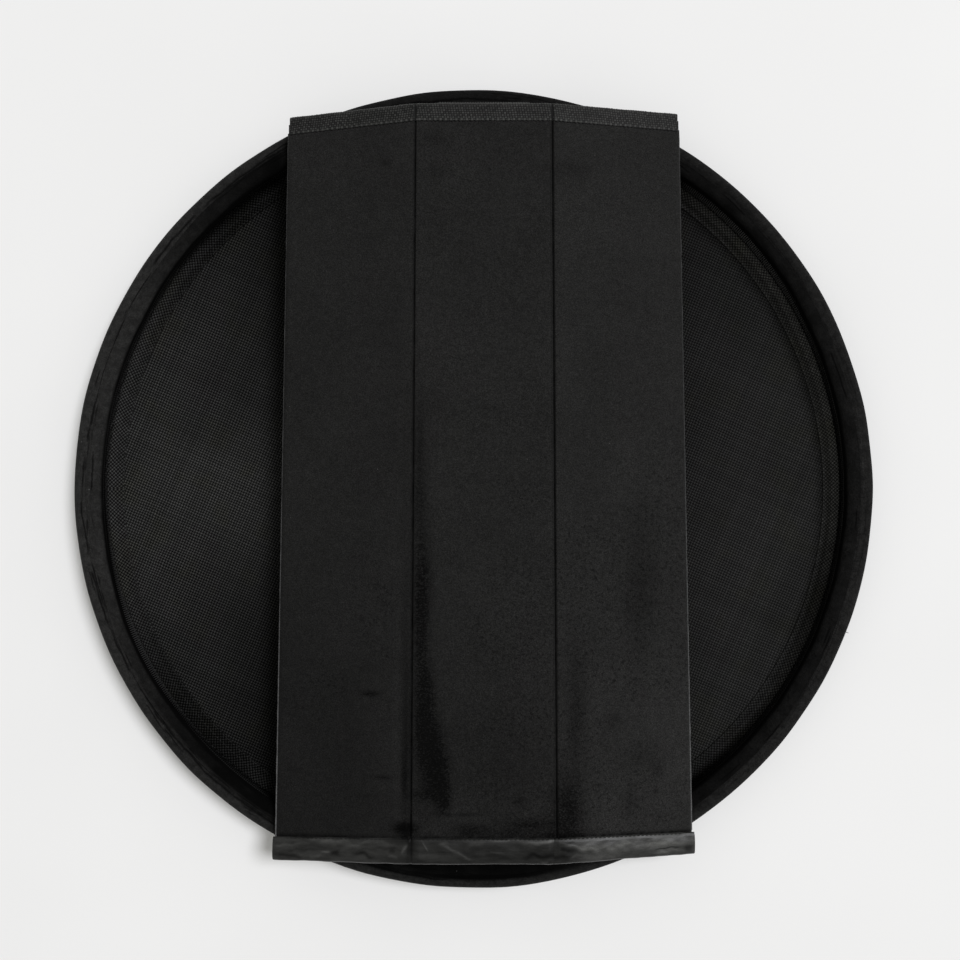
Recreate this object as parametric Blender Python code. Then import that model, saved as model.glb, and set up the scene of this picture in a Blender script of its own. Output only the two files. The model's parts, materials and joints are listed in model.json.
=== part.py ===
"""A round folding trap of cloth on two hoops, folded flat.

The base is a padded rim round a woven floor. The mouth is a second, smaller hoop that nests
inside the base rim and rises from it on a pleated side wall. A cover of three boarded panels
is hinged to the mouth and arches over it, bound with ribbed tape at its hinged end and with
coated cloth at its free end.

Metres, +Z up. The origin is under the centre of the base, on the ground.
"""

import math

import bmesh
import bpy
from mathutils import Matrix, Vector

MM = 0.001

# How pieces meet
GAP = 0.3 * MM  # between pieces that touch
WELD = 0.0001 * MM  # vertices closer than this are one

# Base rim: a padded band round the floor
BASE_RADIUS = 280.0 * MM
BASE_RIM_WIDTH = 10.2 * MM
BASE_RIM_HEIGHT = 24.0 * MM
BASE_OUTER_ROUND = 4.6 * MM
BASE_INNER_ROUND = 2.2 * MM
SLEEVE_CLOTH = 1.0 * MM
BASE_WIRE = 4.0 * MM  # diameter of the base hoop
FOAM_EASE = 0.3 * MM  # room between a foam core and the cloth round it

# Floor
FLOOR_CLOTH = 0.8 * MM
FLOOR_TUCK = 1.9 * MM  # how far the floor reaches inside the base sleeve
HEM_CLOTH = 0.7 * MM
HEM_WIDTH = 11.6 * MM
OVERLOCK_THICKNESS = 0.9 * MM
OVERLOCK_HEIGHT = 2.4 * MM

# Mouth rim: a hoop in a sleeve, nested inside the base rim
MOUTH_RIM_WIDTH = 7.3 * MM
MOUTH_PROUD = 0.5 * MM  # how far the folded mouth stands above the base rim
MOUTH_INNER_ROUND = 3.4 * MM
MOUTH_OUTER_ROUND = 1.8 * MM
MOUTH_WIRE = 3.0 * MM
MOUTH_FOAM = 2.6 * MM  # thickness of the foam strip over the mouth hoop

# Hoop joints
WIRE_SPLIT = 2.0 * MM  # between the two ends of each wire
FERRULE_LENGTH = 26.0 * MM
FERRULE_WALL = 0.45 * MM
FERRULE_FIT = 0.25 * MM  # clearance round the wire
BASE_SPLIT = math.radians(0.0)  # where the base hoop's two ends meet
MOUTH_SPLIT = math.radians(180.0)  # and the mouth hoop's

# Side wall, folded into a stack of pleats
WALL_CLOTH = 0.4 * MM
WALL_LAYERS = 14  # layers of cloth in the stack
WALL_SETBACK = 2.7 * MM  # from the mouth rim's inner face to the pleats

# Cover
COVER_TAPE_SETBACK = 4.2 * MM  # from the mouth rim's inner face to the cover's taped end
COVER_HEM_SETBACK = 11.7 * MM  # and to its hemmed end
COVER_OFFSET = 7.1 * MM  # the cover lies this far right of the centre line
PANEL_WIDTH_TAPE = 91.2 * MM  # each panel's width at the taped end
PANEL_WIDTH_HEM = 97.7 * MM  # and at the hemmed end
PANEL_THICKNESS = 5.0 * MM
PANEL_CLOTH = 1.1 * MM
BOARD_EDGE = 3.0 * MM  # cloth beyond a board's long edges
SHOULDER = 3.0 * MM  # length over which a panel thins towards its bound ends
ARCH_ANGLE = math.radians(12.5)  # each outer panel's slope at rest
FOLD_ANGLE = math.radians(115.0)  # how far an outer panel folds up past flat
SEAM_RADIUS = 0.45 * MM
SEAM_DEPTH = 0.45 * MM  # from the panels' top face down to the seam's axis
SEAM_CLEARANCE = 0.35 * MM
SEAM_END = 1.0 * MM  # the seam stops this far short of each end

TAPE_THICKNESS = 0.9 * MM
TAPE_WIDTH = 12.3 * MM
TAPE_SHORT = 1.5 * MM  # the tape stops this far short of the cover's long edges

ROLL_WIDTH = 18.4 * MM
ROLL_CLOTH = 1.0 * MM
ROLL_PROUD = 0.2 * MM
ROLL_SOLID = 8.5 * MM  # the rolled nose beyond the panel's end
ROLL_LONG = 1.2 * MM  # the roll runs this far past the cover's long edges

# Hinge between the cover and the mouth
TAB_WIDTH = 62.0 * MM
TAB_THICKNESS = 1.6 * MM
TAB_FOOT = 4.0 * MM
TAB_FOOT_SETBACK = 2.4 * MM  # from the mouth rim's inner face to the foot
STRAP_THICKNESS = 1.2 * MM
STRAP_LENGTH = 24.0 * MM
STRAP_SETBACK = 0.6 * MM  # from the tab's round edge back to the strap
HINGE_AHEAD = 1.5 * MM  # from the cover's taped end out to the hinge axis
HINGE_DROP = 0.12 * MM  # from the strap down to the hinge axis

# Facets
RING_STEPS = 60
WIRE_SIDES = 6
FERRULE_SIDES = 10
CORNER_STEPS = 2
EDGE_STEPS = 4
ROLL_STEPS = 6



def ferrule_radius(wire):
    """The outer radius of the ferrule round a wire."""
    return wire / 2 + FERRULE_FIT + FERRULE_WALL


# Sizes that follow from those above
BASE_INNER = BASE_RADIUS - BASE_RIM_WIDTH
FLOOR_BOTTOM = SLEEVE_CLOTH + GAP
FLOOR_TOP = FLOOR_BOTTOM + FLOOR_CLOTH
FLOOR_RADIUS = BASE_INNER + FLOOR_TUCK
SLIT_TOP = FLOOR_TOP + GAP
MOUTH_OUTER = BASE_INNER - GAP
MOUTH_INNER = MOUTH_OUTER - MOUTH_RIM_WIDTH
MOUTH_TOP = BASE_RIM_HEIGHT + MOUTH_PROUD
MOUTH_RIM_HEIGHT = (
    2 * (SLEEVE_CLOTH + GAP + ferrule_radius(MOUTH_WIRE)) + FOAM_EASE + MOUTH_FOAM
)
MOUTH_BOTTOM = MOUTH_TOP - MOUTH_RIM_HEIGHT
WALL_INNER = MOUTH_INNER + WALL_SETBACK
WALL_OUTER = MOUTH_OUTER - GAP
OVERLOCK_OUTER = WALL_INNER - GAP
HEM_OUTER = OVERLOCK_OUTER - OVERLOCK_THICKNESS - GAP

COVER_TAPE_END = MOUTH_INNER - COVER_TAPE_SETBACK
COVER_LENGTH = 2 * MOUTH_INNER - COVER_TAPE_SETBACK - COVER_HEM_SETBACK
SEAM_SETBACK = SEAM_RADIUS + SEAM_CLEARANCE
FLARE_ABOVE = math.tan(FOLD_ANGLE / 2)
FLARE_BELOW = math.tan(ARCH_ANGLE / 2)
CREASE_YAW = math.atan2((PANEL_WIDTH_HEM - PANEL_WIDTH_TAPE) / 2, COVER_LENGTH)
TAPE_ROOM = TAPE_THICKNESS + GAP
ROLL_ROOM = ROLL_CLOTH + GAP - ROLL_PROUD

# The cover's height: the roll's lowest corner, at the outer edge of a sloping panel, lies on
# the mouth rim.
ROLL_REACH = PANEL_WIDTH_HEM + ROLL_LONG
ROLL_BELOW_AXIS = PANEL_THICKNESS + ROLL_PROUD - SEAM_DEPTH
CREASE_Z = (
    MOUTH_TOP
    + GAP
    + ROLL_REACH * math.sin(ARCH_ANGLE)
    + ROLL_BELOW_AXIS * math.cos(ARCH_ANGLE)
)
COVER_TOP = CREASE_Z + SEAM_DEPTH
COVER_UNDERSIDE = COVER_TOP - PANEL_THICKNESS
HINGE_Y = COVER_TAPE_END + HINGE_AHEAD
HINGE_Z = COVER_UNDERSIDE - GAP - STRAP_THICKNESS - HINGE_DROP

LEFT, RIGHT = -1, 1


# ---------------------------------------------------------------- Blender helpers


def clear_scene():
    for obj in list(bpy.data.objects):
        bpy.data.objects.remove(obj, do_unlink=True)


def make_material(name, colour, roughness, metallic=0.0):
    material = bpy.data.materials.new(name)
    material.use_nodes = True
    shader = material.node_tree.nodes["Principled BSDF"]
    shader.inputs["Base Color"].default_value = (*colour, 1.0)
    shader.inputs["Roughness"].default_value = roughness
    shader.inputs["Metallic"].default_value = metallic
    return material


def make_empty(name, location, parent=None, turn=None):
    empty = bpy.data.objects.new(name, None)
    bpy.context.scene.collection.objects.link(empty)
    empty.parent = parent
    empty.location = location
    if turn is not None:
        empty.rotation_euler = turn.to_euler()
    return empty


def add_object(name, bm, material, parent=None, smooth_below=40.0):
    """Turn a bmesh into a closed, outward-facing object."""
    bmesh.ops.remove_doubles(bm, verts=bm.verts, dist=WELD)
    bmesh.ops.recalc_face_normals(bm, faces=bm.faces)
    mesh = bpy.data.meshes.new(name)
    bm.to_mesh(mesh)
    bm.free()
    mesh.shade_smooth()
    mesh.set_sharp_from_angle(angle=math.radians(smooth_below))
    mesh.materials.append(material)
    obj = bpy.data.objects.new(name, mesh)
    bpy.context.scene.collection.objects.link(obj)
    obj.parent = parent
    return obj


def add_loop(bm, points):
    """Add a closed loop of edges through the points, and return its vertices and edges."""
    verts = [bm.verts.new(point) for point in points]
    edges = [bm.edges.new((a, b)) for a, b in zip(verts, verts[1:] + verts[:1])]
    return verts, edges


def skin(bm, loops):
    """Join equal loops of vertices into a tube."""
    for one, other in zip(loops, loops[1:]):
        for i in range(len(one)):
            j = (i + 1) % len(one)
            bm.faces.new((one[i], one[j], other[j], other[i]))


def add_extrusion(name, outline, x_from, x_to, material, parent=None):
    """Extrude a (y, z) outline along X."""
    bm = bmesh.new()
    verts, _ = add_loop(bm, [(x_from, y, z) for y, z in outline])
    face = bm.faces.new(verts)
    grown = bmesh.ops.extrude_face_region(bm, geom=[face])
    moved = [item for item in grown["geom"] if isinstance(item, bmesh.types.BMVert)]
    bmesh.ops.translate(bm, verts=moved, vec=(x_to - x_from, 0, 0))
    return add_object(name, bm, material, parent)


# ---------------------------------------------------------------- outlines


def arc(centre, radius, start, end, steps):
    """Points on an arc, in degrees, both ends included."""
    return [
        (centre[0] + radius * math.cos(angle), centre[1] + radius * math.sin(angle))
        for angle in (
            math.radians(start + (end - start) * i / steps) for i in range(steps + 1)
        )
    ]


def arched_top(inner, outer, top, inner_round, outer_round, inset=0.0):
    """The rounded top of a rim's (radius, z) section, from the inner side to the outer."""
    near = inner_round - inset
    far = outer_round - inset
    height = top - inset
    return [
        *arc((inner + inner_round, height - near), near, 180, 90, CORNER_STEPS),
        *arc((outer - outer_round, height - far), far, 90, 0, CORNER_STEPS),
    ]


def sleeve_outline(rim, bottom, slit_top):
    """The (radius, z) section of a cloth sleeve, open along a slit at its inner lower corner."""
    inner, outer = rim[:2]
    return [
        (inner, slit_top),
        *arched_top(*rim),
        (outer, bottom),
        (inner, bottom),
        (inner, bottom + SLEEVE_CLOTH),
        (outer - SLEEVE_CLOTH, bottom + SLEEVE_CLOTH),
        *arched_top(*rim, inset=SLEEVE_CLOTH)[::-1],
        (inner + SLEEVE_CLOTH, slit_top),
    ]


def foam_outline(rim, bottom):
    """The (radius, z) section of the foam under a sleeve's top."""
    inner, outer = rim[:2]
    inset = SLEEVE_CLOTH + FOAM_EASE
    return [
        (inner + inset, bottom),
        *arched_top(*rim, inset=inset),
        (outer - inset, bottom),
    ]


def turned(direction):
    """The direction a quarter turn to the left of this one."""
    return Vector((-direction.y, direction.x))


def strip_sides(points, thickness):
    """The left and right sides of a strip of even thickness along a path."""
    path = [Vector(point) for point in points]
    runs = [(b - a).normalized() for a, b in zip(path, path[1:])]
    left, right = [], []
    for point, before, after in zip(path, runs[:1] + runs, runs + runs[-1:]):
        normal = turned((before + after).normalized())
        offset = normal * (thickness / 2) / normal.dot(turned(after))
        left.append(tuple(point + offset))
        right.append(tuple(point - offset))
    return left, right


def fold_span(width, rise, thickness):
    """How far apart the centres of two neighbouring folds lie, across a stack of pleats.

    The stack is width across over the points of its folds, and each layer climbs by rise.
    """
    ratio = (thickness / rise) ** 2
    square = width**2 - (1 - ratio) * (width**2 - thickness**2)
    return (width - math.sqrt(square)) / (1 - ratio)


def pleated_outline(inner, outer, bottom, top, thickness, layers):
    """A strip folded to and fro with sharp folds, from the bottom to the top."""
    rise = (top - bottom - thickness) / layers
    middle = (inner + outer) / 2
    half = fold_span(outer - inner, rise, thickness) / 2
    path = [
        (middle + (half if i % 2 == 0 else -half), bottom + thickness / 2 + rise * i)
        for i in range(layers + 1)
    ]
    left, right = strip_sides(path, thickness)
    return right + left[::-1]


def ribbon_outline(points, thickness):
    """A strip of even thickness along a path, with a round far end."""
    left, right = strip_sides(points, thickness)
    end = Vector(points[-1]) - Vector(points[-2])
    heading = math.degrees(math.atan2(end.y, end.x))
    nose = arc(points[-1], thickness / 2, heading - 90, heading + 90, 2 * CORNER_STEPS)
    return right[:-1] + nose + left[-2::-1]


# ---------------------------------------------------------------- rings


def add_ring(name, outline, material, parent=None):
    """Spin a closed (radius, z) outline all the way round Z."""
    bm = bmesh.new()
    verts, edges = add_loop(bm, [(r, 0, z) for r, z in outline])
    bmesh.ops.spin(
        bm,
        geom=verts + edges,
        cent=(0, 0, 0),
        axis=(0, 0, 1),
        angle=math.tau,
        steps=RING_STEPS,
        use_merge=True,
    )
    return add_object(name, bm, material, parent)


def add_hoop(name, radius, z, wire, split_angle, material, parent=None):
    """A wire bent into a ring, its two ends a little apart."""
    bm = bmesh.new()
    outline = arc((radius, z), wire / 2, 0, 360, WIRE_SIDES)[:-1]
    split = WIRE_SPLIT / radius
    start = Matrix.Rotation(split_angle + split / 2, 3, "Z")
    verts, edges = add_loop(bm, [start @ Vector((r, 0, z)) for r, z in outline])
    bmesh.ops.spin(
        bm,
        geom=verts + edges,
        cent=(0, 0, 0),
        axis=(0, 0, 1),
        angle=math.tau - split,
        steps=RING_STEPS,
    )
    bmesh.ops.holes_fill(bm, edges=[e for e in bm.edges if e.is_boundary], sides=0)
    return add_object(name, bm, material, parent)


def add_ferrule(name, radius, z, wire, split_angle, material, parent=None):
    """A short tube that hides and holds the wire's two ends, each as straight as its run."""
    outside = ferrule_radius(wire)
    split = WIRE_SPLIT / radius
    run = (math.tau - split) / RING_STEPS
    reach = FERRULE_LENGTH / radius / 2
    shrink = math.cos(run / 2) / math.cos(reach - split / 2 - run / 2)
    stations = [(-reach, shrink), (-split / 2, 1), (split / 2, 1), (reach, shrink)]
    skins = []
    bm = bmesh.new()
    for tube in (outside, outside - FERRULE_WALL):
        outline = arc((radius, z), tube, 0, 360, FERRULE_SIDES)[:-1]
        loops = []
        for angle, scale in stations:
            turn = Matrix.Rotation(split_angle + angle, 3, "Z")
            loops.append(
                [bm.verts.new(turn @ Vector((r * scale, 0, h))) for r, h in outline]
            )
        skin(bm, loops)
        skins.append(loops)
    for end in (0, -1):
        skin(bm, [skins[0][end], skins[1][end]])
    return add_object(name, bm, material, parent)


# ---------------------------------------------------------------- base


def build_base(materials):
    rim = (BASE_INNER, BASE_RADIUS, BASE_RIM_HEIGHT, BASE_INNER_ROUND, BASE_OUTER_ROUND)
    ferrule = ferrule_radius(BASE_WIRE)
    wire_z = SLIT_TOP + ferrule
    wire_radius = BASE_RADIUS - SLEEVE_CLOTH - FOAM_EASE - ferrule
    wire = (wire_radius, wire_z, BASE_WIRE, BASE_SPLIT)
    add_ring("base_rim_sleeve", sleeve_outline(rim, 0.0, SLIT_TOP), materials["nap_cloth"])
    add_hoop("base_hoop", *wire, materials["steel"])
    add_ferrule("base_hoop_ferrule", *wire, materials["steel"])
    foam = foam_outline(rim, wire_z + ferrule + GAP)
    add_ring("base_rim_foam", foam, materials["foam"])


def build_floor(materials):
    bm = bmesh.new()
    bmesh.ops.create_cone(
        bm,
        cap_ends=True,
        segments=RING_STEPS,
        radius1=FLOOR_RADIUS,
        radius2=FLOOR_RADIUS,
        depth=FLOOR_CLOTH,
        matrix=Matrix.Translation((0, 0, (FLOOR_BOTTOM + FLOOR_TOP) / 2)),
    )
    add_object("floor_panel", bm, materials["mesh_cloth"])
    hem_bottom = FLOOR_TOP + GAP
    add_ring(
        "floor_hem",
        [
            (HEM_OUTER - HEM_WIDTH, hem_bottom),
            (HEM_OUTER, hem_bottom),
            (HEM_OUTER, hem_bottom + HEM_CLOTH),
            (HEM_OUTER - HEM_WIDTH, hem_bottom + HEM_CLOTH),
        ],
        materials["mesh_cloth"],
    )
    bead = OVERLOCK_THICKNESS / 2
    crown = (OVERLOCK_OUTER - bead, hem_bottom + OVERLOCK_HEIGHT - bead)
    add_ring(
        "floor_overlock",
        [
            (OVERLOCK_OUTER - OVERLOCK_THICKNESS, hem_bottom),
            (OVERLOCK_OUTER, hem_bottom),
            *arc(crown, bead, 0, 180, CORNER_STEPS),
        ],
        materials["thread"],
    )


def build_side_wall(materials):
    """The wall's cloth, laid to and fro from the floor up to the mouth rim."""
    outline = pleated_outline(
        WALL_INNER,
        WALL_OUTER,
        FLOOR_TOP + GAP,
        MOUTH_BOTTOM - GAP,
        WALL_CLOTH,
        WALL_LAYERS,
    )
    add_ring("side_wall", outline, materials["mesh_cloth"])


# ---------------------------------------------------------------- mouth


def build_mouth(materials, mouth):
    inner_round = min(MOUTH_INNER_ROUND, MOUTH_FOAM + FOAM_EASE + SLEEVE_CLOTH)
    rim = (MOUTH_INNER, MOUTH_OUTER, MOUTH_TOP, inner_round, MOUTH_OUTER_ROUND)
    ferrule = ferrule_radius(MOUTH_WIRE)
    slit_top = MOUTH_BOTTOM + SLEEVE_CLOTH + GAP
    wire_z = slit_top + ferrule
    wire = ((MOUTH_INNER + MOUTH_OUTER) / 2, wire_z, MOUTH_WIRE, MOUTH_SPLIT)
    sleeve = sleeve_outline(rim, MOUTH_BOTTOM, slit_top)
    add_ring("mouth_rim_sleeve", sleeve, materials["nap_cloth"], mouth)
    add_hoop("mouth_hoop", *wire, materials["steel"], mouth)
    add_ferrule("mouth_hoop_ferrule", *wire, materials["steel"], mouth)
    foam = foam_outline(rim, wire_z + ferrule + GAP)
    add_ring("mouth_rim_foam", foam, materials["foam"], mouth)


# ---------------------------------------------------------------- cover


def seam_setback(z):
    """How far a panel's edge keeps from the seam, at height z over the panel's top face.

    Above the seam it leaves room to fold up, and below it room for the arch.
    """
    above = z + SEAM_DEPTH
    if above > 0:
        return SEAM_SETBACK + above * FLARE_ABOVE
    return SEAM_SETBACK - above * FLARE_BELOW


def panel_width(distance):
    """A panel's width at a distance from its taped end."""
    share = distance / COVER_LENGTH
    return PANEL_WIDTH_TAPE + (PANEL_WIDTH_HEM - PANEL_WIDTH_TAPE) * share


def seam_edge(top, bottom, inset):
    """A panel's edge beside a seam, from the top face down, as (distance from seam, z)."""
    middle = -SEAM_DEPTH if top > -SEAM_DEPTH else (top + bottom) / 2
    return [(seam_setback(z) + inset, z) for z in (top, middle, bottom)]


def free_edge(width, top, bottom, inset):
    """A panel's rounded outer edge, from the bottom face up."""
    radius = (top - bottom) / 2
    return arc(
        (width - inset - radius, (top + bottom) / 2), radius, -90, 90, EDGE_STEPS
    )


def outer_panel_section(distance, top, bottom, inset):
    """Section of an outer panel, measured outwards from its seam."""
    return seam_edge(top, bottom, inset) + free_edge(
        panel_width(distance), top, bottom, inset
    )


def middle_panel_section(distance, top, bottom, inset):
    """Section of the middle panel, measured from the cover's centre line."""
    half = panel_width(distance) / 2
    edge = seam_edge(top, bottom, inset)
    return [(x - half, z) for x, z in edge] + [(half - x, z) for x, z in edge[::-1]]


def panel_stations():
    """Where a panel changes thickness: distance from the taped end, and the depth taken off."""
    return [
        (TAPE_ROOM, TAPE_ROOM),
        (TAPE_WIDTH + GAP, TAPE_ROOM),
        (TAPE_WIDTH + GAP + SHOULDER, 0.0),
        (COVER_LENGTH - ROLL_WIDTH - GAP - SHOULDER, 0.0),
        (COVER_LENGTH - ROLL_WIDTH - GAP, ROLL_ROOM),
        (COVER_LENGTH - ROLL_SOLID - GAP, ROLL_ROOM),
    ]


def panel_skin(bm, section, side, stations, inset):
    """One skin of a panel, lofted along its length. Its loops run from the taped end."""
    loops = []
    for distance, taken in stations:
        top = -taken - inset
        bottom = -PANEL_THICKNESS + taken + inset
        outline = section(distance, top, bottom, inset)
        loops.append(
            [bm.verts.new((side * x, -distance, z + SEAM_DEPTH)) for x, z in outline]
        )
    skin(bm, loops)
    return loops


def add_panel(name, section, side, materials, parent):
    """A flat cloth pocket, open at both ends, with a board in it."""
    bm = bmesh.new()
    outside = panel_skin(bm, section, side, panel_stations(), 0.0)
    inside = panel_skin(bm, section, side, panel_stations(), PANEL_CLOTH)
    for end in (0, -1):
        skin(bm, [outside[end], inside[end]])
    add_object(name + "_panel_cover", bm, materials["nap_cloth"], parent)
    add_board(name + "_panel_board", section, side, materials["board"], parent)


def add_board(name, section, side, material, parent):
    bm = bmesh.new()
    first, last = panel_stations()[2:4]
    stations = [(first[0] + GAP, 0.0), (last[0] - GAP, 0.0)]
    loops = []
    for distance, _ in stations:
        top = -PANEL_CLOTH - GAP
        outline = section(distance, top, -PANEL_THICKNESS - top, BOARD_EDGE)
        loops.append(
            [bm.verts.new((side * x, -distance, z + SEAM_DEPTH)) for x, z in outline]
        )
    skin(bm, loops)
    bm.faces.new(loops[0])
    bm.faces.new(loops[-1])
    add_object(name, bm, material, parent)


def tape_outline():
    """The folded tape's (y, z) section. Y runs from the hemmed end towards the taped end."""
    top = SEAM_DEPTH
    bottom = top - PANEL_THICKNESS
    bevel = TAPE_THICKNESS / 2
    return [
        (-TAPE_WIDTH, top),
        (-bevel, top),
        (0, top - bevel),
        (0, bottom + bevel),
        (-bevel, bottom),
        (-TAPE_WIDTH, bottom),
        (-TAPE_WIDTH, bottom + TAPE_THICKNESS),
        (-TAPE_THICKNESS, bottom + TAPE_THICKNESS),
        (-TAPE_THICKNESS, top - TAPE_THICKNESS),
        (-TAPE_WIDTH, top - TAPE_THICKNESS),
    ]


def roll_outline():
    """The rolled hem's (y, z) section: two legs round the panel's end, and a round nose."""
    top = SEAM_DEPTH + ROLL_PROUD
    bottom = SEAM_DEPTH - PANEL_THICKNESS - ROLL_PROUD
    radius = (top - bottom) / 2
    start = -(COVER_LENGTH - ROLL_WIDTH)
    slot_end = -(COVER_LENGTH - ROLL_SOLID)
    nose = arc(
        (-COVER_LENGTH + radius, (top + bottom) / 2), radius, 90, 270, ROLL_STEPS
    )
    return [
        (start, top),
        *nose,
        (start, bottom),
        (start, bottom + ROLL_CLOTH),
        (slot_end, bottom + ROLL_CLOTH),
        (slot_end, top - ROLL_CLOTH),
        (start, top - ROLL_CLOTH),
    ]


def add_bindings(name, side, tape_span, roll_span, materials, parent):
    """The ribbed tape round one end of a panel, and the rolled hem round the other."""
    for suffix, outline, span, slot in (
        ("_end_tape", tape_outline(), tape_span, "webbing"),
        ("_rolled_hem", roll_outline(), roll_span, "coated_cloth"),
    ):
        near, far = sorted(side * x for x in span)
        add_extrusion(name + suffix, outline, near, far, materials[slot], parent)


def binding_setback(proud):
    """How far a binding's end keeps from the seam over its whole thickness."""
    return max(seam_setback(proud), seam_setback(-PANEL_THICKNESS - proud))


def build_middle_panel(materials, parent):
    add_panel("middle", middle_panel_section, RIGHT, materials, parent)
    tape_half = PANEL_WIDTH_TAPE / 2 - binding_setback(0.0)
    roll_half = panel_width(COVER_LENGTH - ROLL_WIDTH) / 2 - binding_setback(ROLL_PROUD)
    add_bindings(
        "middle",
        RIGHT,
        (-tape_half, tape_half),
        (-roll_half, roll_half),
        materials,
        parent,
    )


def build_outer_panel(name, side, materials, parent):
    add_panel(name, outer_panel_section, side, materials, parent)
    add_bindings(
        name,
        side,
        (binding_setback(0.0), PANEL_WIDTH_TAPE - TAPE_SHORT),
        (binding_setback(ROLL_PROUD), PANEL_WIDTH_HEM + ROLL_LONG),
        materials,
        parent,
    )


def add_seam(name, side, material, parent):
    """The stitched line between two panels: a round bead on the fold's axis."""
    bm = bmesh.new()
    bmesh.ops.create_cone(
        bm,
        cap_ends=True,
        segments=2 * WIRE_SIDES,
        radius1=SEAM_RADIUS,
        radius2=SEAM_RADIUS,
        depth=COVER_LENGTH - 2 * SEAM_END,
        matrix=Matrix.Translation((0, -COVER_LENGTH / 2, 0))
        @ Matrix.Rotation(math.pi / 2, 4, "X"),
    )
    seam = add_object(name, bm, material, parent)
    seam.location = (side * PANEL_WIDTH_TAPE / 2, 0, 0)
    seam.rotation_euler = (0, 0, side * CREASE_YAW)
    return seam


def build_hinge(materials, mouth, cover):
    foot_z = MOUTH_TOP + GAP + TAB_THICKNESS / 2
    foot_y = MOUTH_INNER + TAB_FOOT_SETBACK
    path = [(foot_y + TAB_FOOT, foot_z), (foot_y, foot_z), (HINGE_Y, HINGE_Z)]
    add_extrusion(
        "cover_hinge_tab",
        ribbon_outline(path, TAB_THICKNESS),
        COVER_OFFSET - TAB_WIDTH / 2,
        COVER_OFFSET + TAB_WIDTH / 2,
        materials["webbing"],
        mouth,
    )
    # The strap lies against the cover's underside and ends just short of the tab's round edge.
    top = COVER_UNDERSIDE - GAP - CREASE_Z
    bottom = top - STRAP_THICKNESS
    near = HINGE_AHEAD - TAB_THICKNESS / 2 - STRAP_SETBACK
    add_extrusion(
        "cover_hinge_strap",
        [
            (near, bottom),
            (near, top),
            (near - STRAP_LENGTH, top),
            (near - STRAP_LENGTH, bottom),
        ],
        -TAB_WIDTH / 2,
        TAB_WIDTH / 2,
        materials["webbing"],
        cover,
    )


def build_cover(materials, mouth):
    lift_axis = make_empty("cover_lift_axis", (COVER_OFFSET, HINGE_Y, HINGE_Z), mouth)
    cover = make_empty(
        "cover_frame", (0, -HINGE_AHEAD, CREASE_Z - HINGE_Z), parent=lift_axis
    )
    build_middle_panel(materials, cover)
    for name, side in (("left", LEFT), ("right", RIGHT)):
        add_seam(name + "_fold_seam", side, materials["thread"], cover)
        turn = Matrix.Rotation(side * CREASE_YAW, 3, "Z") @ Matrix.Rotation(
            side * ARCH_ANGLE, 3, "Y"
        )
        axis = make_empty(
            name + "_fold_axis", (side * PANEL_WIDTH_TAPE / 2, 0, 0), cover, turn
        )
        build_outer_panel(name, side, materials, axis)
    build_hinge(materials, mouth, cover)


# ---------------------------------------------------------------- the whole trap


def build():
    clear_scene()
    materials = {
        "nap_cloth": make_material("nap_cloth", (0.016, 0.016, 0.016), 0.9),
        "mesh_cloth": make_material("mesh_cloth", (0.012, 0.012, 0.011), 0.7),
        "webbing": make_material("webbing", (0.030, 0.030, 0.028), 0.75),
        "coated_cloth": make_material("coated_cloth", (0.024, 0.024, 0.022), 0.45),
        "thread": make_material("thread", (0.010, 0.010, 0.010), 0.8),
        "foam": make_material("foam", (0.25, 0.25, 0.24), 0.95),
        "board": make_material("board", (0.55, 0.54, 0.50), 0.6),
        "steel": make_material("steel", (0.45, 0.45, 0.46), 0.35, 1.0),
    }
    mouth = make_empty("mouth_slide_axis", (0, 0, 0))
    build_base(materials)
    build_floor(materials)
    build_side_wall(materials)
    build_mouth(materials, mouth)
    build_cover(materials, mouth)
    bpy.context.view_layer.update()


build()
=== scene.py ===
"""Looks of a round folding cloth trap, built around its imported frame.

A padded base rim holds a woven floor. A mouth rim nests in it on a pleated wall, and carries a
cover of three boarded panels, bound with ribbed tape at one end and coated cloth at the other.
Metres, +Z up, +Y towards the taped end.
"""

import json
import math

import bmesh
import bpy
import numpy as np
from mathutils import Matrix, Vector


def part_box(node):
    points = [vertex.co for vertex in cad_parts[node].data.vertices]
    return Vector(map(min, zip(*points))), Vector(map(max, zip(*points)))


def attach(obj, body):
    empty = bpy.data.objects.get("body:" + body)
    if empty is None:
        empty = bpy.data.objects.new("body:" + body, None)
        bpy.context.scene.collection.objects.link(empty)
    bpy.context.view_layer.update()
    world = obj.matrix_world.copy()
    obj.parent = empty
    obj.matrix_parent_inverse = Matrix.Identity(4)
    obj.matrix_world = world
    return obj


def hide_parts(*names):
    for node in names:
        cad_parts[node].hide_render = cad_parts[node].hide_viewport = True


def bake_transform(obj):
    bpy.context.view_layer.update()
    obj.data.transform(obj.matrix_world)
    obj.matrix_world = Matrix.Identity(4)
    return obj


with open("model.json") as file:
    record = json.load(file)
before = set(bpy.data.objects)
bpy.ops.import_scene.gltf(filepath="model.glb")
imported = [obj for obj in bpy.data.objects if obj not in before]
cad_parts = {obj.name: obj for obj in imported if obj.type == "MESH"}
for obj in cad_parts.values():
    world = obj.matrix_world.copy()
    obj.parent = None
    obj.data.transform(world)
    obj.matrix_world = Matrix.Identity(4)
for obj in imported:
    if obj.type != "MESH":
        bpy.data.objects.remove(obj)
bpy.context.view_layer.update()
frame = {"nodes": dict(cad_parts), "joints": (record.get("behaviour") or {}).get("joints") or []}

MM = 0.001


# ---- measures from the frame


def node_points(name):
    mesh = frame["nodes"][name].data
    points = np.zeros(len(mesh.vertices) * 3)
    mesh.vertices.foreach_get("co", points)
    return points.reshape(-1, 3)


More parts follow.
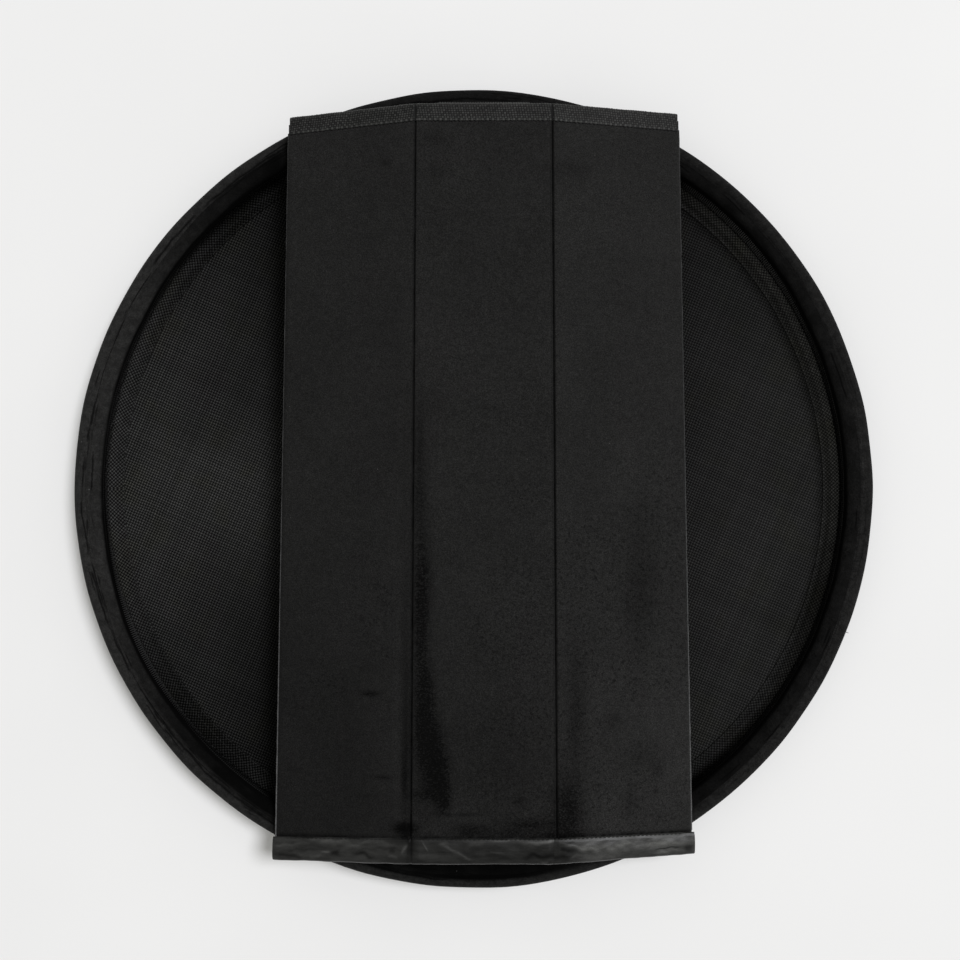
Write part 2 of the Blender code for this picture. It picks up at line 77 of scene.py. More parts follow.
def ring_of(name):
    """(inner radius, outer radius, bottom, top) of a node that runs round the Z axis."""
    points = node_points(name)
    radii = np.hypot(points[:, 0], points[:, 1])
    return radii.min(), radii.max(), points[:, 2].min(), points[:, 2].max()


def unit(vector):
    return vector / np.linalg.norm(vector)


JOINTS = {joint["name"]: joint for joint in frame["joints"]}
BASE_RIM = ring_of("base_rim_sleeve")
MOUTH_RIM = ring_of("mouth_rim_sleeve")
HEM = ring_of("floor_hem")
OVERLOCK = ring_of("floor_overlock")
WALL = ring_of("side_wall")
FLOOR = ring_of("floor_panel")
LEFT_CREASE = np.array(JOINTS["left_panel_fold"]["pos_m"])
RIGHT_CREASE = np.array(JOINTS["right_panel_fold"]["pos_m"])
CREASE_SPREAD = JOINTS["left_panel_fold"]["axis"][0]  # each crease's lean from the Y axis
PANEL_LOW, PANEL_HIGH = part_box("middle_panel_cover")
TAPE_LOW, TAPE_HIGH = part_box("middle_end_tape")
ROLL_LOW, ROLL_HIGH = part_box("middle_rolled_hem")
COVER_LENGTH = TAPE_HIGH.y - ROLL_LOW.y
TAPE_WIDTH = TAPE_HIGH.y - TAPE_LOW.y
ROLL_WIDTH = ROLL_HIGH.y - ROLL_LOW.y
TOP = PANEL_HIGH.z - LEFT_CREASE[2]  # the panels' top face, above the seams' axis
THICKNESS = PANEL_HIGH.z - PANEL_LOW.z
ROLL_PROUD = ROLL_HIGH.z - PANEL_HIGH.z
HALF_MIDDLE = (RIGHT_CREASE[0] - LEFT_CREASE[0]) / 2
SEAM_SETBACK = HALF_MIDDLE - TAPE_HIGH.x + (LEFT_CREASE[0] + RIGHT_CREASE[0]) / 2


def upward_normal(name):
    """The normal of a board's largest upper face."""
    faces = [f for f in frame["nodes"][name].data.polygons if f.normal.z > 0.5]
    return np.array(max(faces, key=lambda f: f.area).normal)


class PanelFrame:
    """A panel's own axes: u across it from its seam, v from the taped end, w up."""

    def __init__(self, origin, along, normal, side):
        self.origin = np.array(origin, float)
        self.v = unit(np.array(along, float))
        self.w = unit(np.array(normal, float))
        self.u = unit(np.cross(self.v, self.w)) * -side

    def world(self, u, v, w):
        parts = np.broadcast_arrays(u, v, w)
        axes = (self.u, self.v, self.w)
        return self.origin + sum(p[..., None] * axis for p, axis in zip(parts, axes))

    def local(self, points):
        offset = points - self.origin
        return np.stack([offset @ self.u, offset @ self.v, offset @ self.w], axis=-1)


SIDES = {"left": -1, "right": 1}
CREASES = {"left": LEFT_CREASE, "right": RIGHT_CREASE}
FRAMES = {"middle": PanelFrame((LEFT_CREASE + RIGHT_CREASE) / 2, (0, -1, 0), (0, 0, 1), 1)}
for panel, side in SIDES.items():
    along = side * np.array(JOINTS[panel + "_panel_fold"]["axis"])
    FRAMES[panel] = PanelFrame(CREASES[panel], along, upward_normal(panel + "_panel_board"), side)
BODIES = {"left": "left_panel", "middle": "cover", "right": "right_panel"}


def outer_width(name, at_hem):
    """How far an outer panel's cloth reaches from its seam, at one of its ends."""
    local = FRAMES[name].local(node_points(name + "_panel_cover"))
    near_end = local[:, 1] > COVER_LENGTH / 2 if at_hem else local[:, 1] < COVER_LENGTH / 2
    return local[near_end, 0].max()


WIDTH_TAPE = outer_width("left", at_hem=False)
WIDTH_HEM = outer_width("left", at_hem=True)


def panel_width(v):
    return WIDTH_TAPE + (WIDTH_HEM - WIDTH_TAPE) * v / COVER_LENGTH


def half_middle(v):
    return HALF_MIDDLE + CREASE_SPREAD * v


# ---- surfaces that vary


def waves(first, seed, first_range, second=0.0, second_range=(0, 0), count=24):
    """Smooth noise of about unit size: a sum of waves over two angles, whole turns in both."""
    random = np.random.default_rng(seed)
    total = 0.0
    for _ in range(count):
        k = random.integers(*first_range, endpoint=True)
        m = random.integers(*second_range, endpoint=True)
        phase, size = random.uniform(0, math.tau), random.uniform(0.5, 1.0)
        total = total + size * np.sin(k * first + m * second + phase)
    return total / math.sqrt(count / 2)


WAVE_SPAN = 0.1  # metres across a panel, for half a turn of its waves


def across_turn(u):
    return u / WAVE_SPAN * math.pi


def along_turn(v):
    return v / COVER_LENGTH * math.pi


def ramp(low, high, value):
    t = np.clip((value - low) / (high - low), 0, 1)
    return t * t * (3 - 2 * t)


def bump_at(value, centre, width):
    """A soft bump, one at the centre and nothing a few widths away."""
    return np.exp(-(((value - centre) / width) ** 2))


# ---- meshes


def grid_faces(rows, columns, ring=False):
    """Quads between rows of closed sections. In a ring the last row joins the first."""
    i = np.arange(rows if ring else rows - 1)[:, None]
    j = np.arange(columns)[None, :]
    below, beside = (i + 1) % rows, (j + 1) % columns
    corners = [i * columns + j, i * columns + beside, below * columns + beside, below * columns + j]
    return np.stack(corners, axis=-1).reshape(-1, 4).tolist()


def tube_faces(count, rows, columns):
    """Faces of a number of equal tubes, each capped at both ends."""
    size = rows * columns
    one = grid_faces(rows, columns) + [list(range(columns)), list(range(size - columns, size))]
    return [[v + i * size for v in face] for i in range(count) for face in one]


def make_piece(name, points, material, body=None, nodes=(), sharp=50, ring=False):
    """A piece from rows of closed sections, which make a ring or one or more capped tubes."""
    rows, columns = points.shape[-3:-1]
    count = points.size // (3 * rows * columns)
    faces = grid_faces(rows, columns, True) if ring else tube_faces(count, rows, columns)
    mesh = bpy.data.meshes.new(name)
    mesh.from_pydata(points.reshape(-1, 3).tolist(), [], faces)
    work = bmesh.new()
    work.from_mesh(mesh)
    bmesh.ops.recalc_face_normals(work, faces=work.faces)
    work.to_mesh(mesh)
    work.free()
    return show(name, mesh, material, body, nodes, sharp)


def show(name, mesh, material, body, nodes, sharp):
    """Shows a mesh as a piece that rides on a body and stands for CAD nodes."""
    mesh.shade_smooth()
    mesh.set_sharp_from_angle(angle=math.radians(sharp))
    mesh.materials.append(material)
    piece = bpy.data.objects.new(name, mesh)
    bpy.context.scene.collection.objects.link(piece)
    if body:
        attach(piece, body)
    if nodes:
        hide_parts(*nodes)
    return piece


def store(piece, name, values, shape=None):
    """Keeps a number for each of a piece's points, for its material to read."""
    attribute = piece.data.attributes.new(name, "FLOAT", "POINT")
    values = values if shape is None else np.broadcast_to(values, shape)
    attribute.data.foreach_set("value", np.ravel(values).astype(np.float32))


def section_normals(section):
    """Outward normals of a closed section of 2-D points that runs anticlockwise."""
    tangent = np.roll(section, -1, axis=0) - np.roll(section, 1, axis=0)
    normal = np.stack([tangent[:, 1], -tangent[:, 0]], axis=1)
    return normal / np.maximum(np.linalg.norm(normal, axis=1, keepdims=True), 1e-12)


def rounded_box(low, high, radii, steps, spacing):
    """An anticlockwise box section with rounded corners, points no further apart than spacing.

    The radii are those of the lower left, lower right, upper right and upper left corners.
    """
    centres = [
        (low[0] + radii[0], low[1] + radii[0]),
        (high[0] - radii[1], low[1] + radii[1]),
        (high[0] - radii[2], high[1] - radii[2]),
        (low[0] + radii[3], high[1] - radii[3]),
    ]
    points = []
    for i, (centre, radius) in enumerate(zip(centres, radii)):
        angles = math.pi + (i + np.linspace(0, 1, steps + 1)) * math.pi / 2
        arc = np.stack([np.cos(angles), np.sin(angles)], axis=1) * radius + centre
        if points:
            points += straight(points[-1], arc[0], spacing)
        points += list(arc)
    points += straight(points[-1], points[0], spacing)
    return np.array(points)


def straight(start, end, spacing):
    """The points between two others, no further apart than spacing."""
    count = max(1, math.ceil(np.linalg.norm(np.subtract(end, start)) / spacing))
    return [start + (end - start) * i / count for i in range(1, count)]


def around(theta, radius, z):
    """Points at angles round the Z axis."""
    return np.stack(np.broadcast_arrays(radius * np.cos(theta), radius * np.sin(theta), z), axis=-1)


def turn_and_radius(points):
    """Angle of points round the Z axis, and their distance from it."""
    return np.arctan2(points[..., 1], points[..., 0]), np.hypot(points[..., 0], points[..., 1])


def spin(section, steps, offset):
    """Points of a (radius, z) section carried round Z, moved along its normals by an offset.

    offset(theta, share) gives metres, where share runs from 0 to 1 round the section.
    """
    theta = np.arange(steps)[:, None] * math.tau / steps
    share = np.arange(len(section))[None, :] / len(section)
    moved = section + offset(theta, share)[..., None] * section_normals(section)
    return around(theta, moved[..., 0], moved[..., 1])


STITCH_SIDES = 6
STITCH_SHAPE = ((-0.5, 0.3), (-0.4, 0.8), (-0.15, 1.0), (0.15, 1.0), (0.4, 0.8), (0.5, 0.3))


def stitches(name, starts, ends, up, thread, body):
    """A row of stitches, each a short plump thread from a start to an end."""
    middle, along = (starts + ends) / 2, ends - starts
    side = np.cross(along, np.broadcast_to(up, starts.shape))
    side /= np.linalg.norm(side, axis=1, keepdims=True)
    lift = np.cross(side, along)
    lift /= np.linalg.norm(lift, axis=1, keepdims=True)
    rings = []
    for share, girth in STITCH_SHAPE:
        for turn in np.arange(STITCH_SIDES) * math.tau / STITCH_SIDES:
            swell = (math.cos(turn) * side + math.sin(turn) * lift) * thread / 2 * girth
            rings.append(middle + along * share + swell)
    points = np.stack(rings, axis=1).reshape(len(starts), len(STITCH_SHAPE), STITCH_SIDES, 3)
    return make_piece(name, points, MATERIALS["thread"], body, sharp=80)


# ---- materials


class Wire:
    """A number, vector or colour in a material. Sums and products of it make their nodes."""

    def __init__(self, socket):
        self.socket = socket
        self.tree = socket.id_data

    def math(self, operation, other=0.0, swapped=False):
        node = self.tree.nodes.new("ShaderNodeMath")
        node.operation = operation
        first, second = (other, self) if swapped else (self, other)
        put(first, node.inputs[0])
        put(second, node.inputs[1])
        return Wire(node.outputs[0])

    def __add__(self, other):
        return self.math("ADD", other)

    def __mul__(self, other):
        return self.math("MULTIPLY", other)

    def __sub__(self, other):
        return self.math("SUBTRACT", other)

    def __rsub__(self, other):
        return self.math("SUBTRACT", other, swapped=True)


def put(value, socket):
    if isinstance(value, Wire):
        value.tree.links.new(value.socket, socket)
    else:
        socket.default_value = value


def fill(sockets, **values):
    """Puts values into the sockets of those names, with spaces for underscores."""
    for key, value in values.items():
        put(value, sockets[key.replace("_", " ")])


def add_node(tree, kind, settings=None, **inputs):
    node = tree.nodes.new(kind)
    for key, value in (settings or {}).items():
        setattr(node, key, value)
    fill(node.inputs, **inputs)
    return node


def new_material(name):
    """A material, its shader's inputs, the shaded point in metres, and its X, Y and Z."""
    material = bpy.data.materials.new(name)
    material.use_nodes = True
    tree = material.node_tree
    where = Wire(tree.nodes.new("ShaderNodeTexCoord").outputs["Object"])
    split = add_node(tree, "ShaderNodeSeparateXYZ", Vector=where)
    axes = [Wire(socket) for socket in split.outputs]
    return material, tree.nodes["Principled BSDF"].inputs, where, axes


def noise(where, scale, detail=2.0, roughness=0.5):
    node = add_node(
        where.tree, "ShaderNodeTexNoise", Vector=where, Scale=scale, Detail=detail, Roughness=roughness
    )
    return Wire(node.outputs["Fac"])


def mapped(value, low, high, to_low=0.0, to_high=1.0):
    """Carries one range onto another smoothly, and keeps to its ends outside it."""
    node = add_node(
        value.tree, "ShaderNodeMapRange", {"interpolation_type": "SMOOTHSTEP"}, Value=value,
        From_Min=low, From_Max=high, To_Min=to_low, To_Max=to_high,
    )
    return Wire(node.outputs[0])


def near_one(value, share, half=0.2):
    """Noise as a factor that strays from 1 by a share."""
    return mapped(value, 0.5 - half, 0.5 + half, 1 - share, 1 + share)


def vector(where, operation, numbers):
    node = add_node(where.tree, "ShaderNodeVectorMath", {"operation": operation})
    put(where, node.inputs[0])
    put(numbers, node.inputs[1])
    return Wire(node.outputs[0])


def tinted(value, tint):
    """A colour of that brightness, from shares of red, green and blue."""
    red, green, blue = (value * part for part in tint)
    node = add_node(value.tree, "ShaderNodeCombineColor", Red=red, Green=green, Blue=blue)
    return Wire(node.outputs[0])


def bump(height, depth, strength):
    node = add_node(height.tree, "ShaderNodeBump", Height=height, Distance=depth, Strength=strength)
    return Wire(node.outputs[0])


# Names under which meshes store numbers for their materials. The first holds brushed places of the nap
# together with painted shade. The second holds painted light and shade, darker above 0 and lighter
# below it. The third holds the relief from which a tape's painted shade is drawn, and how much a
# weave's painted relief shade is weakened.
BRUSHED_AND_SHADE, PAINTED_LIGHT, RELIEF_SHADE = "brushed", "lay", "yarn"


def painted(where, name):
    """What a mesh stores for its points under that name, or 0 where it stores nothing."""
    node = where.tree.nodes.new("ShaderNodeAttribute")
    node.attribute_name = name
    return Wire(node.outputs["Fac"])


def polar(axes, radius):
    """Distance round the Z axis at that radius, and distance from it."""
    turn = axes[1].math("ARCTAN2", axes[0])
    return turn * radius, (axes[0] * axes[0] + axes[1] * axes[1]).math("SQRT")


def crease_lines(where, axes, lines):
    """Broken lines that wander round the Z axis, from (radius, wander, width, break) rows."""
    _, radius = polar(axes, 1.0)
    total = 0.0
    for number, (middle, wander, width, cover) in enumerate(lines):
        elsewhere = vector(where, "ADD", (0.31 * number, 0.17 * number, 0.4 * number))
        line = (noise(elsewhere, 22.0, 5.0, 0.6) - 0.5) * (2 * wander) + middle
        near = mapped((radius - line).math("ABSOLUTE"), 0.0, width, 1.0, 0.0)
        gate = mapped(noise(vector(elsewhere, "ADD", (0.7, 0.2, 0.0)), 24.0), cover, cover + 0.08)
        total = (near * gate).math("MAXIMUM", total)
    return total


def nap_material(name, level, sheen, grain=1.0, crumple=0.0, lines=(), right_share=1.0):
    """Short-nap cloth: soft mottles, a fine pile, dark marks that are brushed nap in places and painted
    shade in others, the painted light and shade that its mesh stores, creases darkened as painted
    shade, and a little dust.
    """
    material, shader, where, axes = new_material(name)
    mottle = near_one(noise(where, 17.0, 4.0, 0.6), 0.09)
    clumps = near_one(noise(where, 1100.0, 2.0, 0.6), 0.3 * grain)
    pile = near_one(noise(where, 2100.0, 1.0, 0.6), 0.4 * grain, 0.25)
    crumpled = near_one(noise(where, 210.0, 4.0, 0.6), crumple, 0.16)
    tufts = noise(vector(where, "MULTIPLY", (1.0, 1.5, 1.5)), 620.0, 3.0, 0.75)
    # Brushed places of the nap and painted shade, from what the mesh stores, broken up by the tufts.
    darkened = (painted(where, BRUSHED_AND_SHADE) * mapped(tufts, 0.36, 0.62, 0.4, 1.3)).math("MINIMUM", 1.0)
    hollow = mapped(noise(vector(where, "ADD", (0.5, 0.3, 0.1)), 430.0, 3.0, 0.7), 0.38, 0.47, 1.0, 0.0)
    patches = mapped(noise(where, 12.0), 0.45, 0.6)
    ruffled = hollow * patches * mapped(axes[1], -0.04, 0.12, 1.0, 0.2)
    shade = (1.0 - darkened * 0.86) * near_one(tufts, 0.07) * (1.0 - ruffled * (0.42 * grain))
    # Painted light and shade that the mesh stores.
    painted_brightness = 1.0 - painted(where, PAINTED_LIGHT)
    value = mottle * clumps * pile * crumpled * shade * painted_brightness * level
    relief = pile + clumps * 2.0 + crumpled * 2.0 - ruffled * (1.6 * grain)
    # Creases are darkened in colour as painted shade, less towards +X by right_share, and sunk in the
    # relief.
    if lines:
        shaded_creases = crease_lines(where, axes, lines) * mapped(axes[0], -0.05, 0.15, 1.0, right_share)
        value = value * (1.0 - shaded_creases * 0.8)
        relief = relief - shaded_creases * 3.0
    specks = add_node(where.tree, "ShaderNodeTexVoronoi", Vector=where, Scale=105.0, Randomness=1.0)
    size = mapped(noise(where, 60.0, 0.0), 0.44, 0.75, 0.0, 0.04)
    dust = Wire(specks.outputs["Distance"]).math("LESS_THAN", size)
    fill(
        shader, Base_Color=tinted(value + dust * 0.05, (1.0, 0.99, 0.965)), Roughness=0.95,
        Specular_IOR_Level=0.06, Sheen_Weight=mapped(painted_brightness, 0.0, 0.8, 0.0, sheen),
        Sheen_Roughness=0.35, Normal=bump(relief, 0.00024, 0.5),
    )
    return material


THREAD_SHARE = 0.94  # how much of the weave's pitch a thread fills


def over_under(across, along, phase):
    """Height of one set of threads in a plain weave."""
    from_middle = (across.math("FRACT") - 0.5).math("ABSOLUTE") * (2.0 / THREAD_SHARE)
    round_top = (1.0 - from_middle.math("POWER", 2.0)).math("MAXIMUM", 0.0)
    swing = ((along + across.math("FLOOR") + phase) * math.pi).math("COSINE") * 0.5
    return round_top * (swing + 0.62)


def turned_pair(first, second, degrees):
    """Two coordinates turned by an angle."""
    c, s = math.cos(math.radians(degrees)), math.sin(math.radians(degrees))
    return first * c + second * s, second * c - first * s


def thread_tone(number):
    """A slightly different brightness for each thread of a weave."""
    chance = add_node(number.tree, "ShaderNodeTexWhiteNoise", {"noise_dimensions": "1D"}, W=number)
    return mapped(Wire(chance.outputs["Value"]), 0.0, 1.0, 0.9, 1.1)


OVERLOCK_PITCH = 1.5 * MM
WEAVE_PITCH = 1.92 * MM
WEAVE_ANGLE = -23.0  # of the floor's threads from the X axis


def woven_material(name, level, coordinates, pitch=WEAVE_PITCH):
    """Open plain-woven cloth, with painted light on its threads' tops, painted shade in its holes, and
    the painted light and shade its mesh stores. coordinates(axes) gives the pair that the threads
    follow.
    """
    material, shader, where, axes = new_material(name)
    first, second = coordinates(axes)
    wobble = (noise(where, 90.0, 1.0) - 0.5) * (pitch * 0.5)
    p, q = (first + wobble).math("DIVIDE", pitch), (second - wobble).math("DIVIDE", pitch)
    height = over_under(p, q, 0.5).math("MAXIMUM", over_under(q, p, 1.5))
    # Painted light on the threads' tops and painted shade in the holes, from the weave's height. The
    # stored relief-shade number weakens it, and the stored painted light and shade then scale it.
    lit = mapped(height, 0.42, 1.15, 0.3, 2.7)
    lit = lit + (1.0 - lit) * painted(where, RELIEF_SHADE)
    painted_brightness = 1.0 - painted(where, PAINTED_LIGHT)
    slubs = thread_tone(p.math("FLOOR")) * thread_tone(q.math("FLOOR"))
    strands = near_one(noise(where, 900.0, 2.0, 0.6), 0.2)
    value = lit * strands * slubs * near_one(noise(where, 14.0), 0.12) * painted_brightness * level
    soil = mapped(noise(where, 38.0, 3.0), 0.5, 0.66, 0.97, 0.88)
    fill(
        shader, Base_Color=tinted(value, (1.0, 1.0, soil)), Roughness=0.7,
        Specular_IOR_Level=mapped(height, 0.2, 0.9, 0.0, 0.16) * mapped(painted_brightness, 0.0, 0.8),
        Normal=bump(height, pitch * 0.25, 0.9),
    )
    return material


def floor_coordinates(axes):
    return turned_pair(axes[0], axes[1], WEAVE_ANGLE)


def bias_coordinates(axes):
    return turned_pair(*polar(axes, HEM[1]), 45.0)


def ladder_coordinates(axes):
    arc, radius = polar(axes, WALL[0])
    return arc, (radius + axes[2]) * 0.5


YELLOWISH = (1.0, 1.0, 0.95)


def webbing_material(name, level):
    """Ribbed tape: its yarn stands up in the mesh, and the shader adds the strands and paints the
    yarn's tops lighter and the hollows between them darker as painted shade.
    """
    material, shader, where, _ = new_material(name)
    strands = near_one(noise(where, 1300.0, 2.0, 0.6), 0.2)
    soiled = near_one(noise(where, 60.0, 3.0), 0.14)
    value = mapped(painted(where, RELIEF_SHADE), 0.15, 0.95, 0.1, 2.0) * strands * soiled * level
    fill(
        shader, Base_Color=tinted(value, YELLOWISH), Roughness=0.68, Specular_IOR_Level=0.14,
        Sheen_Weight=0.05, Sheen_Roughness=0.5, Normal=bump(strands, 0.0001, 0.5),
    )
    return material


def coated_material(name, level):
    """Coated cloth, glossy, with a fine grain, scuffs that run along it, and the painted highlights and
    shade its mesh stores.
    """
    material, shader, where, _ = new_material(name)
    grain = noise(where, 1100.0, 3.0, 0.6)
    scuffs = noise(vector(where, "MULTIPLY", (0.22, 1.0, 1.0)), 190.0, 5.0, 0.7)
    # Painted highlights and shade of the rolled hem, from what its mesh stores.
    painted_roll_light = (1.0 - painted(where, PAINTED_LIGHT)).math("MAXIMUM", 0.0)
    value = mapped(scuffs, 0.32, 0.68, 0.55, 1.5) * near_one(grain, 0.15) * painted_roll_light * level
    fill(
        shader, Base_Color=tinted(value, YELLOWISH), Roughness=mapped(scuffs, 0.3, 0.7, 0.36, 0.5),
        Specular_IOR_Level=mapped(painted_roll_light, 0.2, 1.4, 0.1, 0.34),
        Normal=bump(grain + scuffs * 2.0, 0.0002, 0.3),
    )
    return material


def thread_material(name, level):
    """Thread, darker and with less shine where painted shade is stored on its mesh, and lighter where
    painted light is.
    """
    material, shader, where, _ = new_material(name)
    twist = noise(where, 1800.0, 1.0)
    painted_brightness = 1.0 - painted(where, PAINTED_LIGHT)
    fill(
        shader, Base_Color=tinted(near_one(twist, 0.4) * painted_brightness * level, (1.0, 1.0, 1.0)),
        Roughness=0.6, Specular_IOR_Level=mapped(painted_brightness, 0.0, 1.0, 0.0, 0.2),
        Normal=bump(twist, 0.0001, 0.6),
    )
    return material


def hidden_material(name, colour, scale, metallic, roughness):
    """For the pieces inside the cloth: board and steel."""
    material, shader, where, _ = new_material(name)
    cells = noise(where, scale, 3.0, 0.6)
    fill(
        shader, Base_Color=tinted(mapped(cells, 0.3, 0.7, 0.8, 1.15), colour), Metallic=metallic,
        Roughness=mapped(cells, 0.3, 0.7, roughness - 0.08, roughness + 0.08),
        Normal=bump(cells, 0.0001, 0.4),
    )
    return material


# Creases round the rims, as (radius, wander, width, break) rows. The nap is darkened in them as painted
# shade.
BASE_LINES = (
    (BASE_RIM[0] + 1.5 * MM, 4.5 * MM, 1.5 * MM, 0.46),
    (BASE_RIM[0] + 3.0 * MM, 4.5 * MM, 1.0 * MM, 0.51),
    (BASE_RIM[0] + 0.3 * MM, 2.4 * MM, 0.9 * MM, 0.44),
    (BASE_RIM[0] + 4.8 * MM, 5.0 * MM, 0.7 * MM, 0.60),
)
MOUTH_LINES = (
    (MOUTH_RIM[1] - 1.0 * MM, 2.8 * MM, 0.9 * MM, 0.52),
    (MOUTH_RIM[1] - 3.2 * MM, 3.4 * MM, 1.0 * MM, 0.52),
)
MATERIALS = {
    "base_rim": nap_material("rim_nap", 0.0178, 0.06, 0.8, 0.24, BASE_LINES, 0.4),
    "mouth_rim": nap_material("mouth_nap", 0.0172, 0.04, 0.8, 0.22, MOUTH_LINES),
    "panel": nap_material("panel_nap", 0.0141, 0.06, 1.0, 0.08),
    "floor": woven_material("floor_weave", 0.0112, floor_coordinates),
    "hem": woven_material("hem_weave", 0.0200, bias_coordinates),
    # The wall's cloth is set much darker than the rest: painted shade for the groove it lies in.
    "wall": woven_material("wall_weave", 0.0038, ladder_coordinates, OVERLOCK_PITCH),
    "webbing": webbing_material("ribbed_webbing", 0.0205),
    "coated": coated_material("coated_cloth", 0.0196),
    "thread": thread_material("thread", 0.0065),
    "overlock": thread_material("overlock_thread", 0.024),
    "edge": thread_material("pale_edge", 0.085),
    "board": hidden_material("board", (0.55, 0.54, 0.50), 300.0, 0.0, 0.6),
    "steel": hidden_material("steel", (0.45, 0.45, 0.46), 900.0, 1.0, 0.35),
}


# ---- base and mouth rims

RIM_STEPS = 720
JOINT_RADIUS = (BASE_RIM[0] + MOUTH_RIM[1]) / 2


def spread(theta, degrees, width):
    """1 at an angle round the Z axis, and nothing a few widths away from it."""
    turn = (np.degrees(theta) - degrees + 180) % 360 - 180
    return np.exp(-((turn / width) ** 2))


def rows_by_angle(theta, base, *rows):
    """A value round the trap: a base, and (degrees, width, strength) rows on it. It sets painted light
    and shade by angle, and where the rims close and draw in.
    """
    return base + sum(strength * spread(theta, degrees, width) for degrees, width, strength in rows)


def joint_wander(theta):
    """How far the line between the two rims strays from its circle."""
    return waves(theta, 7, (3, 26)) * 0.35 * MM


def joint_gap(theta):
    """How far the rims part along that line: shut in places, open in others."""
    gate = ramp(-0.3, 1.2, waves(theta, 8, (5, 40)))
    shut = rows_by_angle(theta, 0, (180, 35, 1), (225, 22, 0.8), (20, 50, 1))
    return (0.05 + 0.3 * gate * (1 - np.clip(shut, 0, 1))) * MM


def dented(seed, dents, creases, back):
    """An offset of soft dents, and of long shallow creases that run round a roll.

    dents is (waves, height), and creases (waves round the trap, waves round the roll, height).
    """

    def offset(theta, share):
        turn = share * math.tau
        dent = waves(theta, seed, dents[0], turn, (-2, 2)) * dents[1]
        return dent + waves(theta, seed + 1, creases[0], turn, creases[1]) * creases[2] - back

    return offset


def base_rim_shift(theta, place, z, radius):
    """Radius of the base rim's points, with its inner side brought up to the joint."""
    near = ramp(BASE_RIM[0] + 3.0 * MM, BASE_RIM[0] + 0.4 * MM, place)
    near = near * ramp(MOUTH_RIM[2] - 2 * MM, MOUTH_RIM[2] + 2 * MM, z)
    joint = JOINT_RADIUS + joint_wander(theta) + joint_gap(theta) / 2
    return np.maximum(radius + near * (joint_wander(theta) - 0.35 * MM), near * joint)


MOUTH_SWELL = 1.9 * MM  # how far the mouth rim's cloth bulges inwards, past its foam


def mouth_rim_shift(theta, place, _, radius):
    """Radius of the mouth rim's points: full on its inner side, and brought up to the joint."""
    near = ramp(MOUTH_RIM[1] - 3.0 * MM, MOUTH_RIM[1] - 0.4 * MM, place)
    inner = ramp(MOUTH_RIM[1] - 2.0 * MM, MOUTH_RIM[0], place)
    joint = JOINT_RADIUS + joint_wander(theta) - joint_gap(theta) / 2
    drawn_in = np.clip(rows_by_angle(theta, 0, (46, 22, 0.9), (204, 12, 0.6)), 0, 1)
    swell = MOUTH_SWELL * (1 - drawn_in) * inner
    return np.minimum(radius - swell + near * (joint_wander(theta) + 0.3 * MM), joint)


def build_rim(name, ring, radii, crown, offset, shift, body):
    """A cloth roll round the whole trap, a little crowned on top."""
    inner, outer, bottom, top = ring
    section = rounded_box((inner, bottom), (outer, top), np.array(radii) * MM, 9, 0.5 * MM)
    middle, half = (inner + outer) / 2, (outer - inner) / 2
    high = ramp(0.5, 1.0, (section[:, 1] - bottom) / (top - bottom))
    section[:, 1] -= crown * high * ((section[:, 0] - middle) / half) ** 2
    points = spin(section, RIM_STEPS, offset)
    theta, radius = turn_and_radius(points)
    moved_to = shift(theta, section[None, :, 0], points[..., 2], radius)
    points[..., :2] *= (moved_to / radius)[..., None]
    points[..., 2] = np.maximum(points[..., 2], 0.0)
    nodes = (name + "_sleeve", name + "_foam")
    piece = make_piece(name, points, MATERIALS[name], body, nodes, ring=True)
    return piece, theta, np.hypot(points[..., 0], points[..., 1]), points[..., 2]


def build_base_rim():
    offset = dented(3, ((5, 38), 0.16 * MM), ((2, 16), (7, 15), 0.07 * MM), 0.2 * MM)
    rim, theta, radius, _ = build_rim(
        "base_rim", BASE_RIM, (0.6, 2.2, 4.8, 0.3), 0.5 * MM, offset, base_rim_shift, "base"
    )
    # Painted light and shade round the rim: lighter at the left, darker at the top.
    lay = rows_by_angle(
        theta, 0.34, (180, 38, -0.40), (140, 25, -0.16), (48, 25, 0.10), (235, 30, -0.10),
        (90, 24, 0.34), (325, 20, -0.04),
    )
    # Painted shade on its inner side, where the cover overhangs it and below the rolled hem.
    inside = ramp(BASE_RIM[0] + 5.0 * MM, BASE_RIM[0] + 1.5 * MM, radius)
    lay = lay + inside * rows_by_angle(theta, 0.0, (118, 14, 0.3), (270, 28, 0.7), (48, 24, 0.2))
    # A lighter scuffed line at the right goes in with it.
    scuff = bump_at(radius, BASE_RIM[0] + 2.0 * MM + 4 * joint_wander(theta), 0.45 * MM)
    worn = np.clip(0.6 + waves(theta, 17, (20, 110)) * 0.5, 0, 1)
    store(rim, PAINTED_LIGHT, lay - 0.4 * scuff * worn * rows_by_angle(theta, 0.0, (3, 13, 1), (335, 10, 0.7)))


